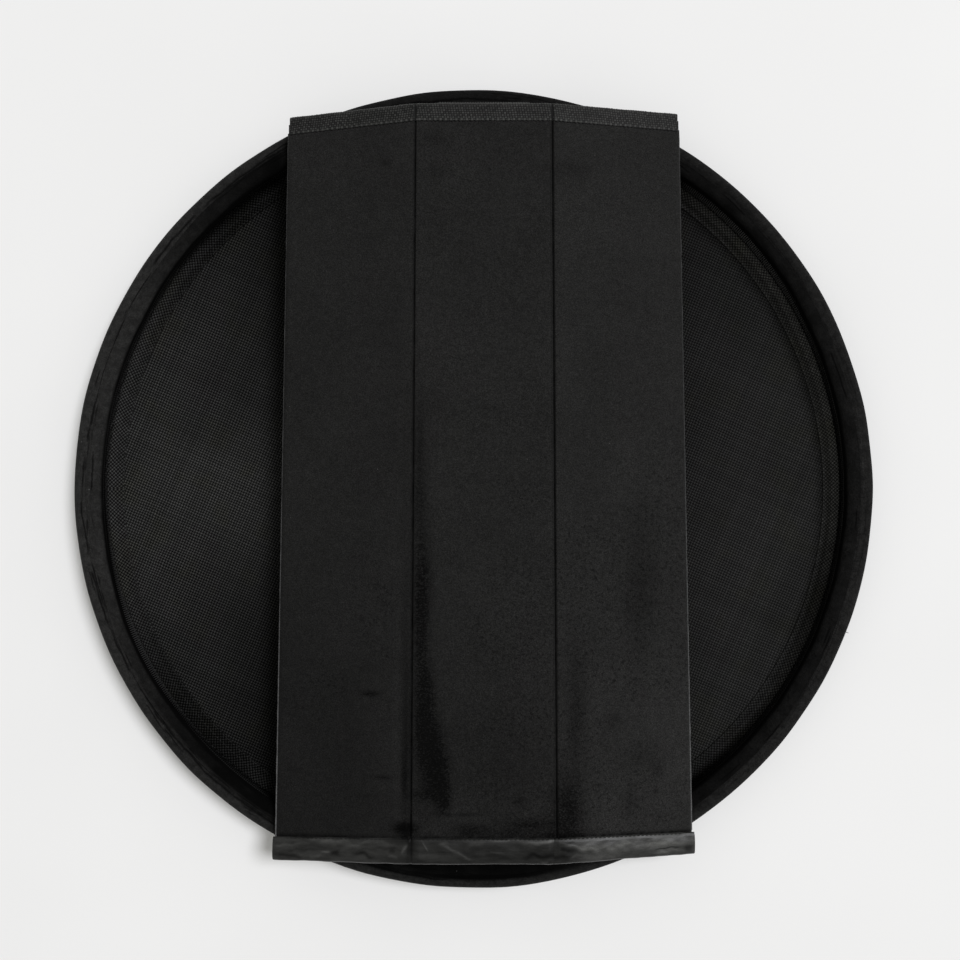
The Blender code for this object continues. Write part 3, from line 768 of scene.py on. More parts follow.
def build_mouth_rim():
    offset = dented(5, ((6, 44), 0.12 * MM), ((3, 20), (6, 12), 0.06 * MM), 0.15 * MM)
    rim, theta, radius, z = build_rim(
        "mouth_rim", MOUTH_RIM, (4.3, 0.6, 0.3, 4.6), 0.3 * MM, offset, mouth_rim_shift, "mouth"
    )
    # Painted light and shade round the mouth rim: lighter at the left, darker at the bottom and lower
    # left.
    lay = rows_by_angle(
        theta, 0.68, (180, 28, -0.72), (158, 14, -0.36), (270, 35, 0.28), (228, 22, 0.22),
        (315, 25, 0.07), (122, 14, 0.22), (46, 18, 0.17),
    )
    # Painted light on its outer side at the lower left.
    outside = ramp(MOUTH_RIM[1] - 3.0 * MM, MOUTH_RIM[1] - 1.0 * MM, radius)
    lay = lay - outside * rows_by_angle(theta, 0.0, (225, 24, 0.45), (190, 20, 0.12))
    # Ragged edges to the painted light, and painted shade low on its inner side, under its swell.
    ragged = waves(theta, 9, (10, 90), z / MM * 0.5, (-2, 2)) * 0.05
    under = ramp(MOUTH_RIM[3] - 1.8 * MM, MOUTH_RIM[3] - 4.6 * MM, z)
    store(rim, PAINTED_LIGHT, np.clip(lay + ragged + under, 0, 0.96))


BUTT_SEAM_ANGLE = math.radians(-21.0)
BUTT_SEAM_GAP = 0.28  # between its stitches, as a share of their pitch


def build_rim_seam():
    """A row of stitches across the base rim, where the ends of its cloth meet."""
    inner, outer, bottom, top = BASE_RIM
    section = rounded_box((inner, bottom), (outer, top), (MM,) * 4, 3, 2.0 * MM)
    after = np.roll(section, -1, axis=0)
    keep = np.minimum(section[:, 1], after[:, 1]) > bottom + MM
    inset = ((after - section) * BUTT_SEAM_GAP / 2)[keep]
    ends = []
    for flat in (section[keep] + inset, after[keep] - inset):
        ends.append(around(np.full(len(flat), BUTT_SEAM_ANGLE), flat[:, 0], flat[:, 1]))
    across = (-math.sin(BUTT_SEAM_ANGLE), math.cos(BUTT_SEAM_ANGLE), 0.0)
    stitches("base_rim_seam", *ends, across, 0.4 * MM, "base")


# ---- floor

FLOOR_STEPS = 288


def build_floor():
    """The taut woven disc, with a slight slackness in its middle."""
    radii = np.linspace(0.0, 1.0, 64) ** 0.9 * (FLOOR[1] - 0.2 * MM)
    radii[0] = 0.5 * MM
    turns = np.arange(FLOOR_STEPS) * math.tau / FLOOR_STEPS
    r, t = np.meshgrid(radii, turns, indexing="ij")
    slack = ramp(HEM[0], HEM[0] * 0.6, r)
    ripple = waves(t, 11, (0, 5), r / FLOOR[1] * math.pi, (1, 4)) * 0.13 * MM * slack
    top = around(t, r, FLOOR[3] - 0.02 * MM + ripple)
    under = around(t, r, FLOOR[2] + 0.02 * MM + ripple)[::-1]
    rows = np.concatenate([top, under])
    piece = make_piece("floor_cloth", rows, MATERIALS["floor"], "base", ("floor_panel",))
    x, y = rows[..., 0] / MM, rows[..., 1] / MM
    theta, radius = turn_and_radius(rows)
    # Painted light and shade on the floor by angle, fading towards its middle, and painted shadow
    # beside the cover, heavier on its left.
    lay = rows_by_angle(theta, 0.0, (225, 32, 0.20), (135, 32, 0.10), (45, 32, 0.26), (180, 22, -0.5))
    lay = lay * ramp(40, 150, radius / MM)
    beside_left = 0.44 * ramp(-235, -130, x) * (0.75 + 0.25 * np.clip(np.abs(y) / 150, 0, 1))
    beside_right = 0.02 + 0.16 * ramp(215, 140, x)
    lay = lay + beside_right + ramp(60, -80, x) * (beside_left - beside_right)
    store(piece, PAINTED_LIGHT, np.clip(lay, -0.7, 0.85))
    # Less painted shade in the weave's holes towards +X.
    store(piece, RELIEF_SHADE, 0.45 * ramp(-60, 120, x))
    size = 2 * FLOOR[1]
    math.pi * FLOOR[1] ** 2


def build_hem():
    """The hem band on the floor, slightly puckered."""
    inner, outer, bottom, top = HEM
    radii = (0.1 * MM, 0.2 * MM, 0.33 * MM, 0.85 * (top - bottom))
    section = rounded_box((inner, bottom), (outer, top), radii, 4, 0.7 * MM)

    def pucker(theta, share):
        return waves(theta, 21, (90, 240), share * math.tau, (1, 3)) * 0.05 * MM

    points = spin(section, 960, pucker)
    piece = make_piece(
        "hem_band", points, MATERIALS["hem"], "base", ("floor_hem",), ring=True
    )
    theta, radius = turn_and_radius(points)
    # Painted light and shade round the hem band, outer and inner parts: lighter at the right and upper
    # right, darker at the lower left and lower right.
    outer_painted_light = rows_by_angle(
        theta, 0.35, (180, 24, -0.27), (137, 20, 0.1), (222, 18, 0.44), (317, 30, 0.3),
        (42, 30, -1.6), (2, 20, -1.6), (127, 13, 0.34), (328, 12, -0.9),
    )
    inner_painted_light = rows_by_angle(
        theta, 0.50, (180, 24, -0.25), (137, 20, 0.13), (222, 18, 0.27), (317, 30, 0.12),
        (42, 30, -0.7), (4, 20, -0.85), (127, 13, 0.17), (328, 12, -0.15),
    )
    inside = ramp(HEM[0] + 5.9 * MM, HEM[0] + 5.0 * MM, radius)
    store(piece, PAINTED_LIGHT, np.clip(outer_painted_light + inside * (inner_painted_light - outer_painted_light), -2.0, 0.95))
    # Less painted shade in the weave's holes towards +X.
    store(piece, RELIEF_SHADE, 0.3 * ramp(-60 * MM, 120 * MM, points[..., 0]))
    outer - inner
    math.pi * (inner + outer)


HEM_ROWS = {"outer": (5.4 * MM, 0.8 * MM), "inner": (0.9 * MM, 0.7 * MM)}


def build_hem_stitches(row):
    """A circle of stitches on the hem band, from its distance to the inner edge and its thread."""
    from_edge, thread = HEM_ROWS[row]
    radius, z = HEM[0] + from_edge, HEM[3] - 0.05 * MM
    pitch, length = 3.3 * MM, 1.7 * MM
    count = round(math.tau * radius / pitch)
    random = np.random.default_rng(count)
    theta = np.arange(count) * math.tau / count
    middle = theta + random.normal(0, 0.04, count) * pitch / radius
    half = length / radius / 2
    ends = around(middle - half, radius, z), around(middle + half, radius, z)
    piece = stitches(f"hem_{row}_stitches", *ends, (0, 0, 1), thread, "base")
    spans = np.repeat(theta, len(piece.data.vertices) // count)
    # Painted light on the stitches at the right, upper right and lower right.
    store(piece, PAINTED_LIGHT, rows_by_angle(spans, 0.0, (42, 30, -1.4), (0, 22, -1.8), (317, 20, -0.6)))


OVERLOCK_SIDES = 5
OVERLOCK_CLIMB = 8.5 * MM  # how far up the wall the loops reach, where they reach furthest


def build_overlock():
    """Loops of thread over the edge where the wall meets the floor."""
    inner, outer, bottom, top = OVERLOCK
    thread = 0.42 * MM
    count = round(math.tau * outer / OVERLOCK_PITCH)
    theta = np.arange(count) * math.tau / count
    low, high = bottom + thread / 2, top - thread / 2
    near, far = inner + thread / 2, outer - thread / 2
    path = ((near, low), (near, high), ((near + far) / 2, high + 0.2 * MM), (far, high), (far, low))
    climbs = (0, 0, 1, 1, 0)
    lean = np.linspace(-0.5, 0.5, len(path)) * OVERLOCK_PITCH / outer * 0.5
    climb = OVERLOCK_CLIMB * np.maximum(spread(theta, 46, 22), 0.8 * spread(theta, 206, 14))
    points = np.zeros((count, len(path), OVERLOCK_SIDES, 3))
    for i, (radius, z) in enumerate(path):
        outward = unit(np.array([radius - (near + far) / 2, z - (low + high) / 2 + 0.2 * MM]))
        for j, turn in enumerate(np.arange(OVERLOCK_SIDES) * math.tau / OVERLOCK_SIDES):
            side, reach = math.sin(turn) * thread / 2 / radius, math.cos(turn) * thread / 2
            r, h = radius + outward[0] * reach, z + outward[1] * reach
            points[:, i, j] = around(theta + lean[i] + side, r, h + climb * climbs[i])
    loops = make_piece(
        "overlock_loops", points, MATERIALS["overlock"], "base", ("floor_overlock",), 80
    )
    angle, _ = turn_and_radius(points)
    # Painted shade on the loops all round, with painted light at about 46 and 204 degrees.
    rows = (46, 18, -3.2), (228, 18, 0.27), (204, 12, -1.3), (0, 20, 0.25)
    store(loops, PAINTED_LIGHT, np.clip(rows_by_angle(angle, 0.6, *rows), -2.4, 0.95))


# ---- side wall

WALL_FOLDS = 18
WALL_CLOTH = 0.3 * MM
WALL_STEPS = 480
POINTS_PER_FOLD = 6


def build_side_wall():
    """The folded wall, between the base and the mouth."""
    inner, outer, bottom, top = WALL
    share = np.linspace(0, 1, WALL_FOLDS * POINTS_PER_FOLD + 1)
    swing = np.cos(share * WALL_FOLDS * math.pi)
    swing = np.sign(swing) * np.abs(swing) ** 0.8
    middle, half = (inner + outer) / 2, (outer - inner) / 2 - WALL_CLOTH
    height = bottom + WALL_CLOTH + (top - bottom - 2 * WALL_CLOTH) * share
    path = np.stack([middle + half * swing, height], axis=1)
    tangent = np.gradient(path, axis=0)
    normal = np.stack([-tangent[:, 1], tangent[:, 0]], axis=1)
    normal /= np.linalg.norm(normal, axis=1, keepdims=True)
    aside = normal * WALL_CLOTH / 2
    section = np.concatenate([path + aside, (path - aside)[::-1]])
    theta = np.arange(WALL_STEPS)[:, None] * math.tau / WALL_STEPS
    sway = waves(theta, 31, (7, 60)) * 0.07 * MM
    points = around(theta, section[None, :, 0] + sway, section[None, :, 1])
    piece = make_piece(
        "pleated_wall", points, MATERIALS["wall"], None, ("side_wall",), ring=True
    )
    angle, _ = turn_and_radius(points)
    # Painted shade on the wall, heaviest at the left and lower left, with painted light at the upper
    # right and right.
    lay = rows_by_angle(angle, 0.0, (200, 45, 0.75), (137, 20, 0.25), (42, 30, -2.0), (0, 18, -0.7))
    store(piece, PAINTED_LIGHT, np.clip(lay, -1.5, 0.9))
    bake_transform(piece)
    math.tau * middle


# ---- cover panels

PANEL_STATIONS = 240
# How far each outer panel's free edge has slipped towards the hem, at its taped and hemmed ends.
SLIPS = {"left": (2.4 * MM, 6.6 * MM), "right": (-0.3 * MM, 2.3 * MM), "middle": (0.0, 0.0)}


def slip(name, u, v):
    """Extra distance along a panel, where it has slipped in its cloth."""
    at_tape, at_hem = SLIPS[name]
    share = np.clip(v / COVER_LENGTH, 0, 1)
    return (at_tape + (at_hem - at_tape) * share) * np.clip(u / WIDTH_HEM, 0, 1)


# Dark marks on the cover's nap, as (x, y, half width, half height, strength), in millimetres: brushed
# places of the nap, and painted shade along the left crease and just above the rolled hem. A strength
# below 0 makes a lighter mark.
BRUSHED_AND_SHADE_MARKS = (
    (-35.5, 2, 4, 34, 0.6), (-35, 44, 3, 22, 0.3), (-35, -100, 4.5, 26, 0.6),
    (-35.5, -172, 4, 50, 0.35), (-28, -196, 8, 22, 0.2), (-34, -64, 6, 32, 1.0),
    (-31.5, -142, 6, 24, 1.1), (-29, -168, 7, 14, 1.3), (-24, -188, 6.5, 13, 1.5),
    (-20, -206, 4.5, 9, 1.2), (-33, -203, 7, 3, 0.7), (-46, -192, 1.3, 13, 1.0),
    (-46, -226, 6.5, 3, 1.3), (-3, -227, 11, 4, 0.7), (-8, -216, 18, 0.9, 0.5),
    (-69, -137.5, 6, 1.8, 1.1), (-61, -193, 6, 1.2, 0.9), (-72, -206, 6, 1.5, 0.35),
    (-124, -192, 6, 1.4, 0.4), (20, -178, 30, 40, 0.36), (64, -214, 10, 17, 1.1),
    (69, -150, 6, 36, 0.5), (106, -213, 3, 10, 0.5), (114, -64, 10, 42, 0.45), (-59, 219.6, 3, 3, 0.6),
    (-25, 233, 9, 6, 0.3), (-24, 212, 10, 4, 0.3), (66, 214, 14, 5, 0.3), (60, -231, 16, 3, 0.9),
    (105, -236, 34, 2.0, 1.0), (-90, -236.5, 30, 1.4, 0.6), (26, -229, 20, 2.6, 0.6),
    (-44.5, -150, 3.2, 62, 0.35), (-50.5, -150, 2.4, 66, -0.25), (-45, -229, 6, 6, 1.0),
    (-10, -150, 24, 60, 0.1), (95, -156, 6, 5, 0.4), (113, -182, 14, 9, 0.35), (126, -192, 4, 4, 0.4),
    (38, -223, 18, 3.6, 0.8), (31, -208, 5, 3, 0.4), (-4, -180, 36, 34, 0.08), (90, -110, 34, 50, 0.05),
)


# Broad places of painted shade on the nap, in the same form, mostly along the left crease and beside
# the two bindings.
SOFT_SHADE_MARKS = (
    (-45.5, -226, 7, 3.5, 0.5), (-45, -175, 3.0, 50, 0.34), (-45, -60, 2.0, 60, 0.15),
    (-26, -192, 9, 22, 0.16), (56, -226, 15, 5, 0.22), (3, -226, 14, 4, 0.18),
    (62, -190, 6, 30, 0.10), (-73, 170, 12, 30, 0.05), (-30, 215, 12, 14, 0.06),
    (75, 218, 14, 10, 0.07), (-52, 120, 10, 60, 0.04),
)


def marks_at(points, marks):
    """The sum of soft elliptical marks, at points of the cover."""
    x, y = points[..., 0] / MM, points[..., 1] / MM
    total = 0.0
    for cx, cy, wide, high, strength in marks:
        distance = ((x - cx) / wide) ** 2 + ((y - cy) / high) ** 2
        total = total + strength * np.exp(-distance * 0.9)
    return total


def add_brushing(piece, points, extra):
    """Stores, for a piece of the cover's nap, its dark marks (brushed nap and painted shade) and its
    painted light and shade: darker at its lower left corner by the hem, lighter at its lower right,
    with soft marks of painted shade and the extra that is given.
    """
    x, y = points[..., 0] / MM, points[..., 1] / MM
    low_left = ramp(60, -230, y) * ramp(-30, -90, x)
    low_right = ramp(-40, -200, y) * ramp(40, 100, x)
    lay = 0.31 * low_left - 0.25 * low_right + marks_at(points, SOFT_SHADE_MARKS) + extra
    store(piece, PAINTED_LIGHT, np.clip(lay, -0.5, 0.95))
    store(piece, BRUSHED_AND_SHADE, np.clip(marks_at(points, BRUSHED_AND_SHADE_MARKS), -0.5, 1.5))


def panel_section(near, far, free_edge):
    """Closed (u, w) section of a panel between two distances from its seam."""
    edge = 0.8 * MM
    outer = THICKNESS / 2 - 0.05 * MM if free_edge else edge
    return rounded_box((near, TOP - THICKNESS), (far, TOP), (edge, outer, outer, edge), 6, 2.6 * MM)


# Painted light of each panel, lightest on the right panel.
PANEL_PAINTED_LIGHT = {"left": 0.0, "middle": -0.01, "right": -0.1}
PANEL_SEEDS = {"left": 60, "middle": 61, "right": 62}
MIDDLE_W = TOP - THICKNESS / 2
ROLL_PAINTED_SHADOW = {"left": 0.5, "middle": 0.7, "right": 1.1}  # how much painted shadow a panel gets beside its roll's edge


def panel_offset(u, v, w, seed):
    """The cloth's slight unevenness over the board, on its two faces only."""
    facing = ramp(0.5, 1.0, np.abs(w - MIDDLE_W) / (THICKNESS / 2))
    return waves(across_turn(u), seed, (0, 4), along_turn(v), (0, 14), 30) * 0.1 * MM * facing


def build_panel(name):
    """A boarded panel's cloth pocket, thinner under the bindings of its two ends."""
    last = COVER_LENGTH - ROLL_WIDTH * 0.55
    close = last - 14 * MM
    coarse = np.linspace(TAPE_WIDTH * 0.4, close, PANEL_STATIONS)[:-1]
    v = np.concatenate([coarse, np.linspace(close, last, 36)])
    seam = SEAM_SETBACK - 0.35 * MM
    if name == "middle":
        sections = [panel_section(seam - half_middle(at), half_middle(at) - seam, False) for at in v]
    else:
        sections = [panel_section(seam, panel_width(at), True) for at in v]
    count = min(len(s) for s in sections)
    stack = np.stack([resampled(s, count) for s in sections])
    u, w, along = stack[..., 0], stack[..., 1], v[:, None]
    reach = roll_reach(name, u)
    under_binding = np.maximum(
        ramp(TAPE_WIDTH + MM, TAPE_WIDTH - 0.5 * MM, along),
        ramp(COVER_LENGTH - reach - MM, COVER_LENGTH - reach + 0.5 * MM, along),
    )
    w = w + panel_offset(u, along, w, PANEL_SEEDS[name]) * np.sign(w - MIDDLE_W)
    w = MIDDLE_W + (w - MIDDLE_W) * (1 - 0.45 * under_binding)
    piece, points = panel_piece(name, "panel", (u, along, w), "panel", "panel_cover")
    # A broken line of painted shadow on the panel, just above the roll's edge.
    broken = 0.55 + 0.45 * np.sin(waves(across_turn(u), 97, (4, 30)) * 2.0)
    shadow = bump_at(along, COVER_LENGTH - reach - 0.8 * MM, 1.6 * MM) * (0.4 + 0.6 * broken)
    add_brushing(piece, points, PANEL_PAINTED_LIGHT[name] + shadow * ROLL_PAINTED_SHADOW[name])


def panel_piece(name, label, place, material, node, sharp=60):
    """A piece on a panel, from its own axes, and its points."""
    u, v, w = place
    points = FRAMES[name].world(u, v + slip(name, u, v), w)
    nodes = (f"{name}_{node}",) if node else ()
    piece = make_piece(f"{name}_{label}", points, MATERIALS[material], BODIES[name], nodes, sharp)
    return piece, points


def resampled(section, count):
    """A closed section again, with that many points, starting at the same one."""
    loop = np.concatenate([section, section[:1]])
    along = np.concatenate([[0], np.cumsum(np.linalg.norm(np.diff(loop, axis=0), axis=1))])
    at = np.linspace(0, along[-1], count + 1)[:-1]
    return np.stack([np.interp(at, along, loop[:, k]) for k in range(2)], axis=1)


# ---- bindings

TAPE_CLOTH = 0.9 * MM
PIP_PITCH = 1.75 * MM  # of the tape's yarn along it
PIP_ROW = 1.5 * MM  # and across it
PIP_SHIFT = 0.16  # how far each row of yarn lies from the one before, as a share of the pitch
PIP_HEIGHT = 0.3 * MM
TAPE_EDGE_RADIUS = 0.4 * MM
TAPE_SEED = 70


def folded_section(length, low, high, cloth, edge):
    """Closed (v, w) section of a strip folded round an end at v = 0, and its outer points."""
    radius, middle = min((high - low) / 2, length / 2), (low + high) / 2

    def nose(size, first, last, count):
        angles = np.radians(np.linspace(first, last, count)[1:-1])
        return [(radius + size * math.cos(a), middle + size * math.sin(a)) for a in angles]

    def face(first, last, w, count):
        return [(x, w) for x in np.linspace(first, last, count)]

    far = length - edge
    outer = [(length, high), *face(far, radius, high, 40), *nose(radius, 90, 270, 13)]
    outer += [*face(radius, far, low, 40), (length, low), (length, low + cloth)]
    inner = [*face(far, radius, low + cloth, 3), *nose(radius - cloth, 270, 90, 7)]
    inner += [*face(radius, far, high - cloth, 3), (length, high - cloth)]
    return np.array(outer + inner), len(outer)


def pips(along, across):
    """Height of the tape's twill, from 0 between its yarns to 1 on top of them."""
    row = across / PIP_ROW
    position = along / PIP_PITCH + PIP_SHIFT * np.floor(row)
    side, end = 2 * (position % 1) - 1, 2 * (row % 1) - 1
    number = np.floor(position) * 12.9898 + np.floor(row) * 78.233
    chance = np.sin(number) * 43758.5453 % 1
    other = (np.floor(position) + np.floor(row)) % 2
    height = 0.66 + 0.22 * other + 0.36 * (chance - 0.5)
    return (0.2 + 0.8 * np.clip(1 - side**2, 0, 1) * np.clip(1 - end**2, 0, 1)) * height


def tape_surface(u):
    """(v, w, yarn) of the end tape at distances u across a panel."""
    section, outer_count = folded_section(
        TAPE_WIDTH, TOP - THICKNESS, TOP + 0.12 * MM, TAPE_CLOTH, TAPE_EDGE_RADIUS
    )
    steps = np.linalg.norm(np.diff(section, axis=0), axis=1)
    along = np.concatenate([[0], np.cumsum(steps)])[None, :]
    outside = np.arange(len(section))[None, :] < outer_count
    bow = waves(across_turn(u), TAPE_SEED, (1, 14)) * 0.25 * MM
    beads = ramp(PIP_ROW * 1.2, PIP_ROW * 0.8, np.abs(along - TAPE_WIDTH + PIP_ROW * 0.6))
    bright_bead = (np.floor(u / PIP_PITCH) % 2) * 0.35
    selvedge = ramp(PIP_ROW * 1.2, PIP_ROW * 0.8, along) * bright_bead + beads * 0.08
    yarn = np.where(outside, np.clip(pips(u, along + bow) + selvedge, 0, 1), 0.4)
    uneven = waves(across_turn(u), TAPE_SEED, (1, 16), along * 90, (0, 2)) * 0.07 * MM
    amount = np.where(outside, PIP_HEIGHT * (yarn - 0.7) + uneven, 0.0)
    v, w = raised_section(section, amount)
    return v, w, yarn


def raised_section(section, amount):
    """The two coordinates of a section moved along its normals."""
    moved = section[None] + amount[..., None] * section_normals(section)[None]
    return moved[..., 0], moved[..., 1]


def local_span(name, node):
    """A node's extent across its panel."""
    local = FRAMES[name].local(node_points(node))
    return local[:, 0].min(), local[:, 0].max()


BRIDGE_HALF = 1.9 * MM  # from a crease to the pieces beside it


def binding_places(name, node, spacing):
    """Distances across a panel for a binding, brought up to the crease bridge beside it."""
    low, high = local_span(name, node)
    if name != "middle":
        low = min(low, BRIDGE_HALF)
    return np.linspace(low, high, round((high - low) / spacing))[:, None]


def build_tape(name):
    """The ribbed tape, folded round a panel's upper end."""
    u = binding_places(name, name + "_end_tape", 0.25 * MM)
    v, w, yarn = tape_surface(u)
    piece, points = panel_piece(name, "tape", (u, v, w), "webbing", "end_tape")
    # The yarn's height, from which the tape's material paints shade between the yarns.
    store(piece, RELIEF_SHADE, yarn, points.shape[:2])


ROLL_CLOTH = 1.0 * MM
ROLL_DOME = 0.9 * MM  # how far the roll swells above its flat shape
ROLL_NARROWING = {"left": 0.10, "middle": 0.03, "right": 0.16}  # of its width, at its outer end
ROLL_PAINTED_LIGHT = {"left": 0.86, "middle": 0.60, "right": 1.12}  # painted light of each roll's cloth, lightest on the right
# Painted highlights of the rolled hem, with painted shade where the strength is below 0, as (distance
# across the panel, share of the roll's width, half length, half width, rise a millimetre, strength).
# They also raise its folds a little. Lengths are in millimetres.
SATIN_LIGHT_MARKS = {
    "left": (
        (57, 0.88, 14, 0.10, 0.0, 0.5), (88, 0.72, 9, 0.05, -0.006, 0.4),
        (37, 0.79, 8, 0.06, -0.014, 0.4), (15, 0.80, 11, 0.07, 0.009, 0.3),
        (3.8, 0.64, 2.2, 0.09, -0.05, 0.9), (60, 0.46, 2.8, 0.035, 0.0, 0.9),
        (53, 0.43, 3, 0.10, 0.0, -0.5), (67, 0.26, 3.8, 0.08, 0.0, 0.45),
        (87, 0.27, 9, 0.08, 0.009, -0.4), (32, 0.38, 8, 0.09, 0.014, -0.45),
        (12, 0.32, 3.4, 0.06, 0.0, 0.6), (12.5, 0.55, 2, 0.10, 0.0, -0.4),
        (24, 0.62, 16, 0.05, -0.004, -0.2), (80, 0.50, 14, 0.06, -0.003, -0.2),
    ),
    "middle": (
        (-39, 0.72, 2, 0.05, -0.08, 0.8), (-27, 0.83, 3.2, 0.05, 0.0, 0.6),
        (-18, 0.50, 9, 0.055, -0.029, 0.75), (-5.5, 0.82, 6, 0.10, 0.01, 0.45),
        (8.5, 0.51, 4.5, 0.03, -0.01, 0.4), (14, 0.95, 14, 0.04, 0.0, 0.8),
        (40, 0.88, 13, 0.06, 0.0, 1.1), (44, 0.86, 6, 0.05, 0.0, 0.5),
        (40, 0.38, 12, 0.10, 0.0, -0.6), (40.5, 0.15, 2, 0.035, 0.0, 1.0),
        (-8, 0.42, 8, 0.12, -0.02, -0.22), (-36, 0.35, 8, 0.12, 0.0, 0.15),
        (20, 0.30, 16, 0.10, 0.004, -0.15),
    ),
    "right": (
        (10, 0.73, 9, 0.045, -0.0144, 0.8), (9, 0.56, 7.5, 0.10, -0.008, -0.6),
        (14, 0.33, 5.5, 0.05, 0.012, 0.6), (2, 0.33, 7, 0.09, 0.0, -0.5),
        (56, 0.63, 42, 0.15, 0.0, 1.1), (26, 0.62, 11, 0.12, 0.0, 0.7),
        (50, 0.65, 9, 0.10, 0.0, 0.4), (72, 0.68, 7, 0.12, 0.0, 0.7),
        (80, 0.27, 8.5, 0.08, 0.002, 1.2), (79, 0.40, 9, 0.025, 0.002, -0.7),
        (40, 0.22, 24, 0.09, 0.0, 0.2), (94, 0.5, 3, 0.4, 0.0, -0.4),
    ),
}


def roll_reach(name, u):
    """The roll's width, which narrows along the outer panels."""
    share = 0 if name == "middle" else np.clip(np.abs(u) / WIDTH_HEM, 0, 1)
    crease = ROLL_NARROWING["middle"]
    return ROLL_WIDTH * (1 - crease - (ROLL_NARROWING[name] - crease) * share)


def painted_satin_light(name, u, across):
    """How much painted highlight the rolled hem has over its plain tone, with painted shade where it is
    below 0.
    """
    along = u / MM
    bent = across + 0.03 * waves(across_turn(u), 88, (3, 24), across * math.pi, (0, 2))
    total = 0.0
    for centre, level, half_length, half_width, rise, strength in SATIN_LIGHT_MARKS[name]:
        ends = np.exp(-(((along - centre) / half_length) ** 4))
        away = (bent - level - rise * (along - centre)) / half_width
        total = total + strength * ends * np.exp(-(away**2))
    return total


def wrinkles(u, share, seed):
    """Long soft wrinkles of a rolled hem, in metres."""
    along, slant = across_turn(u), share * math.tau
    broad = waves(along, seed, (2, 8), slant, (-3, 3), 18)
    return (broad + 0.4 * waves(along, seed + 1, (6, 20), slant, (-6, 6), 24)) * 0.14 * MM


def roll_section():
    low, high = TOP - THICKNESS - ROLL_PROUD, TOP + ROLL_PROUD
    return folded_section(ROLL_WIDTH, low, high, ROLL_CLOTH, 0.5 * MM)


def crease_shade(name, u, across):
    """The soft band of painted shade that the rolled hem has at each crease."""
    if name == "middle":
        left, right = half_middle(COVER_LENGTH) + u, half_middle(COVER_LENGTH) - u
    else:
        left, right = (np.abs(u), np.abs(u) + 1)[:: -SIDES[name]]
    upper_half = 0.35 + 0.65 * ramp(0.15, 0.5, across)
    return (0.75 * bump_at(left, 0, 2.6 * MM) + 0.12 * bump_at(right, 0, 1.5 * MM)) * upper_half


def roll_surface(name, u, seed):
    """(v, w, painted light) of the rolled hem at distances u across a panel, with v from its nose."""
    section, outer_count = roll_section()
    share = np.arange(len(section))[None, :] / outer_count
    upper = section[None, :, 1] > MIDDLE_W
    across = np.clip(section[None, :, 0] / ROLL_WIDTH, 0, 1)
    to_crease = np.abs(u) if name != "middle" else half_middle(COVER_LENGTH) - np.abs(u)
    raised = ramp(BRIDGE_HALF, 6 * MM, to_crease)
    dome = ROLL_DOME * np.sin(across * math.pi) ** 0.8 * np.where(upper, 1.0, 0.25) * raised
    curl = 0.45 * MM * ramp(0.86, 1.0, across) * upper
    free = ramp(BRIDGE_HALF * 0.5, 7 * MM, to_crease)
    marks = painted_satin_light(name, u, across)
    fold = wrinkles(u, share, seed) * free + 0.12 * MM * np.clip(marks, -1, 1) * free * upper
    v, w = raised_section(section, np.where(share < 1, fold + dome - curl - 0.15 * MM, 0.0))
    v = v * roll_reach(name, u) / ROLL_WIDTH
    # Painted light of the roll's upper side: its panel's tone, its painted highlights and shade, a
    # painted highlight along its nose, less painted shade at the creases. Its under side gets a fixed
    # painted shade.
    away = ramp(0, 30 * MM, to_crease)
    tone = ROLL_PAINTED_LIGHT["middle"] + (ROLL_PAINTED_LIGHT[name] - ROLL_PAINTED_LIGHT["middle"]) * away
    inwards = ramp(60 * MM, 40 * MM, np.abs(u)) if name != "middle" else 1.0
    light = tone * (1 + 1.35 * marks) + 1.3 * bump_at(across, 0.0, 0.05) * inwards
    light = light * (1 - crease_shade(name, u, across))
    return v, w, np.where(upper, 1 - np.clip(light, 0.05, 4.5), 0.3)


def build_roll(name, seed):
    """The coated cloth, rolled round a panel's lower end."""
    u = binding_places(name, name + "_rolled_hem", 0.5 * MM)
    v, w, lay = roll_surface(name, u, seed)
    place = (u, COVER_LENGTH - v, w)
    piece, points = panel_piece(name, "roll", place, "coated", "rolled_hem", 70)
    store(piece, PAINTED_LIGHT, lay, points.shape[:2])
    section, _ = roll_section()


EDGE_BEAD = 0.62 * MM  # radius of the pale bead along a free side, for its cut edge and its painted highlight
BEAD_SIDES = 8


def build_edge(name, seed):
    """The thin pale line along an outer panel's free side: partly its pale cut edge, partly a painted
    highlight where the edge catches the light.
    """
    v = np.linspace(TAPE_WIDTH * 0.9, COVER_LENGTH - ROLL_WIDTH * 0.9, 300)[:, None]
    turns = np.arange(BEAD_SIDES)[None, :] * math.tau / BEAD_SIDES
    hem_end = ramp(0.3, 1.0, v / COVER_LENGTH)
    radius = EDGE_BEAD * (0.5 + 0.55 * hem_end + 0.12 * waves(along_turn(v), seed, (20, 110)))
    u = panel_width(v) + 0.1 * MM + radius * np.cos(turns)
    w = TOP - THICKNESS * 0.4 + 1.5 * radius * np.sin(turns)
    piece, points = panel_piece(name, "edge", (u, v, w), "edge", None, 80)
    # Darker towards the taped end.
    store(piece, PAINTED_LIGHT, 0.5 * (1 - hem_end), points.shape[:2])


# ---- creases


def crease_points(name, u, v, w):
    """Points beside a crease: u below 0 lies on the middle panel, above 0 on the outer one."""
    u, v, w = np.broadcast_arrays(u, v, w)
    inner = FRAMES["middle"].world(SIDES[name] * (half_middle(v) + u), v, w)
    return np.where((u < 0)[..., None], inner, FRAMES[name].world(u, v, w))


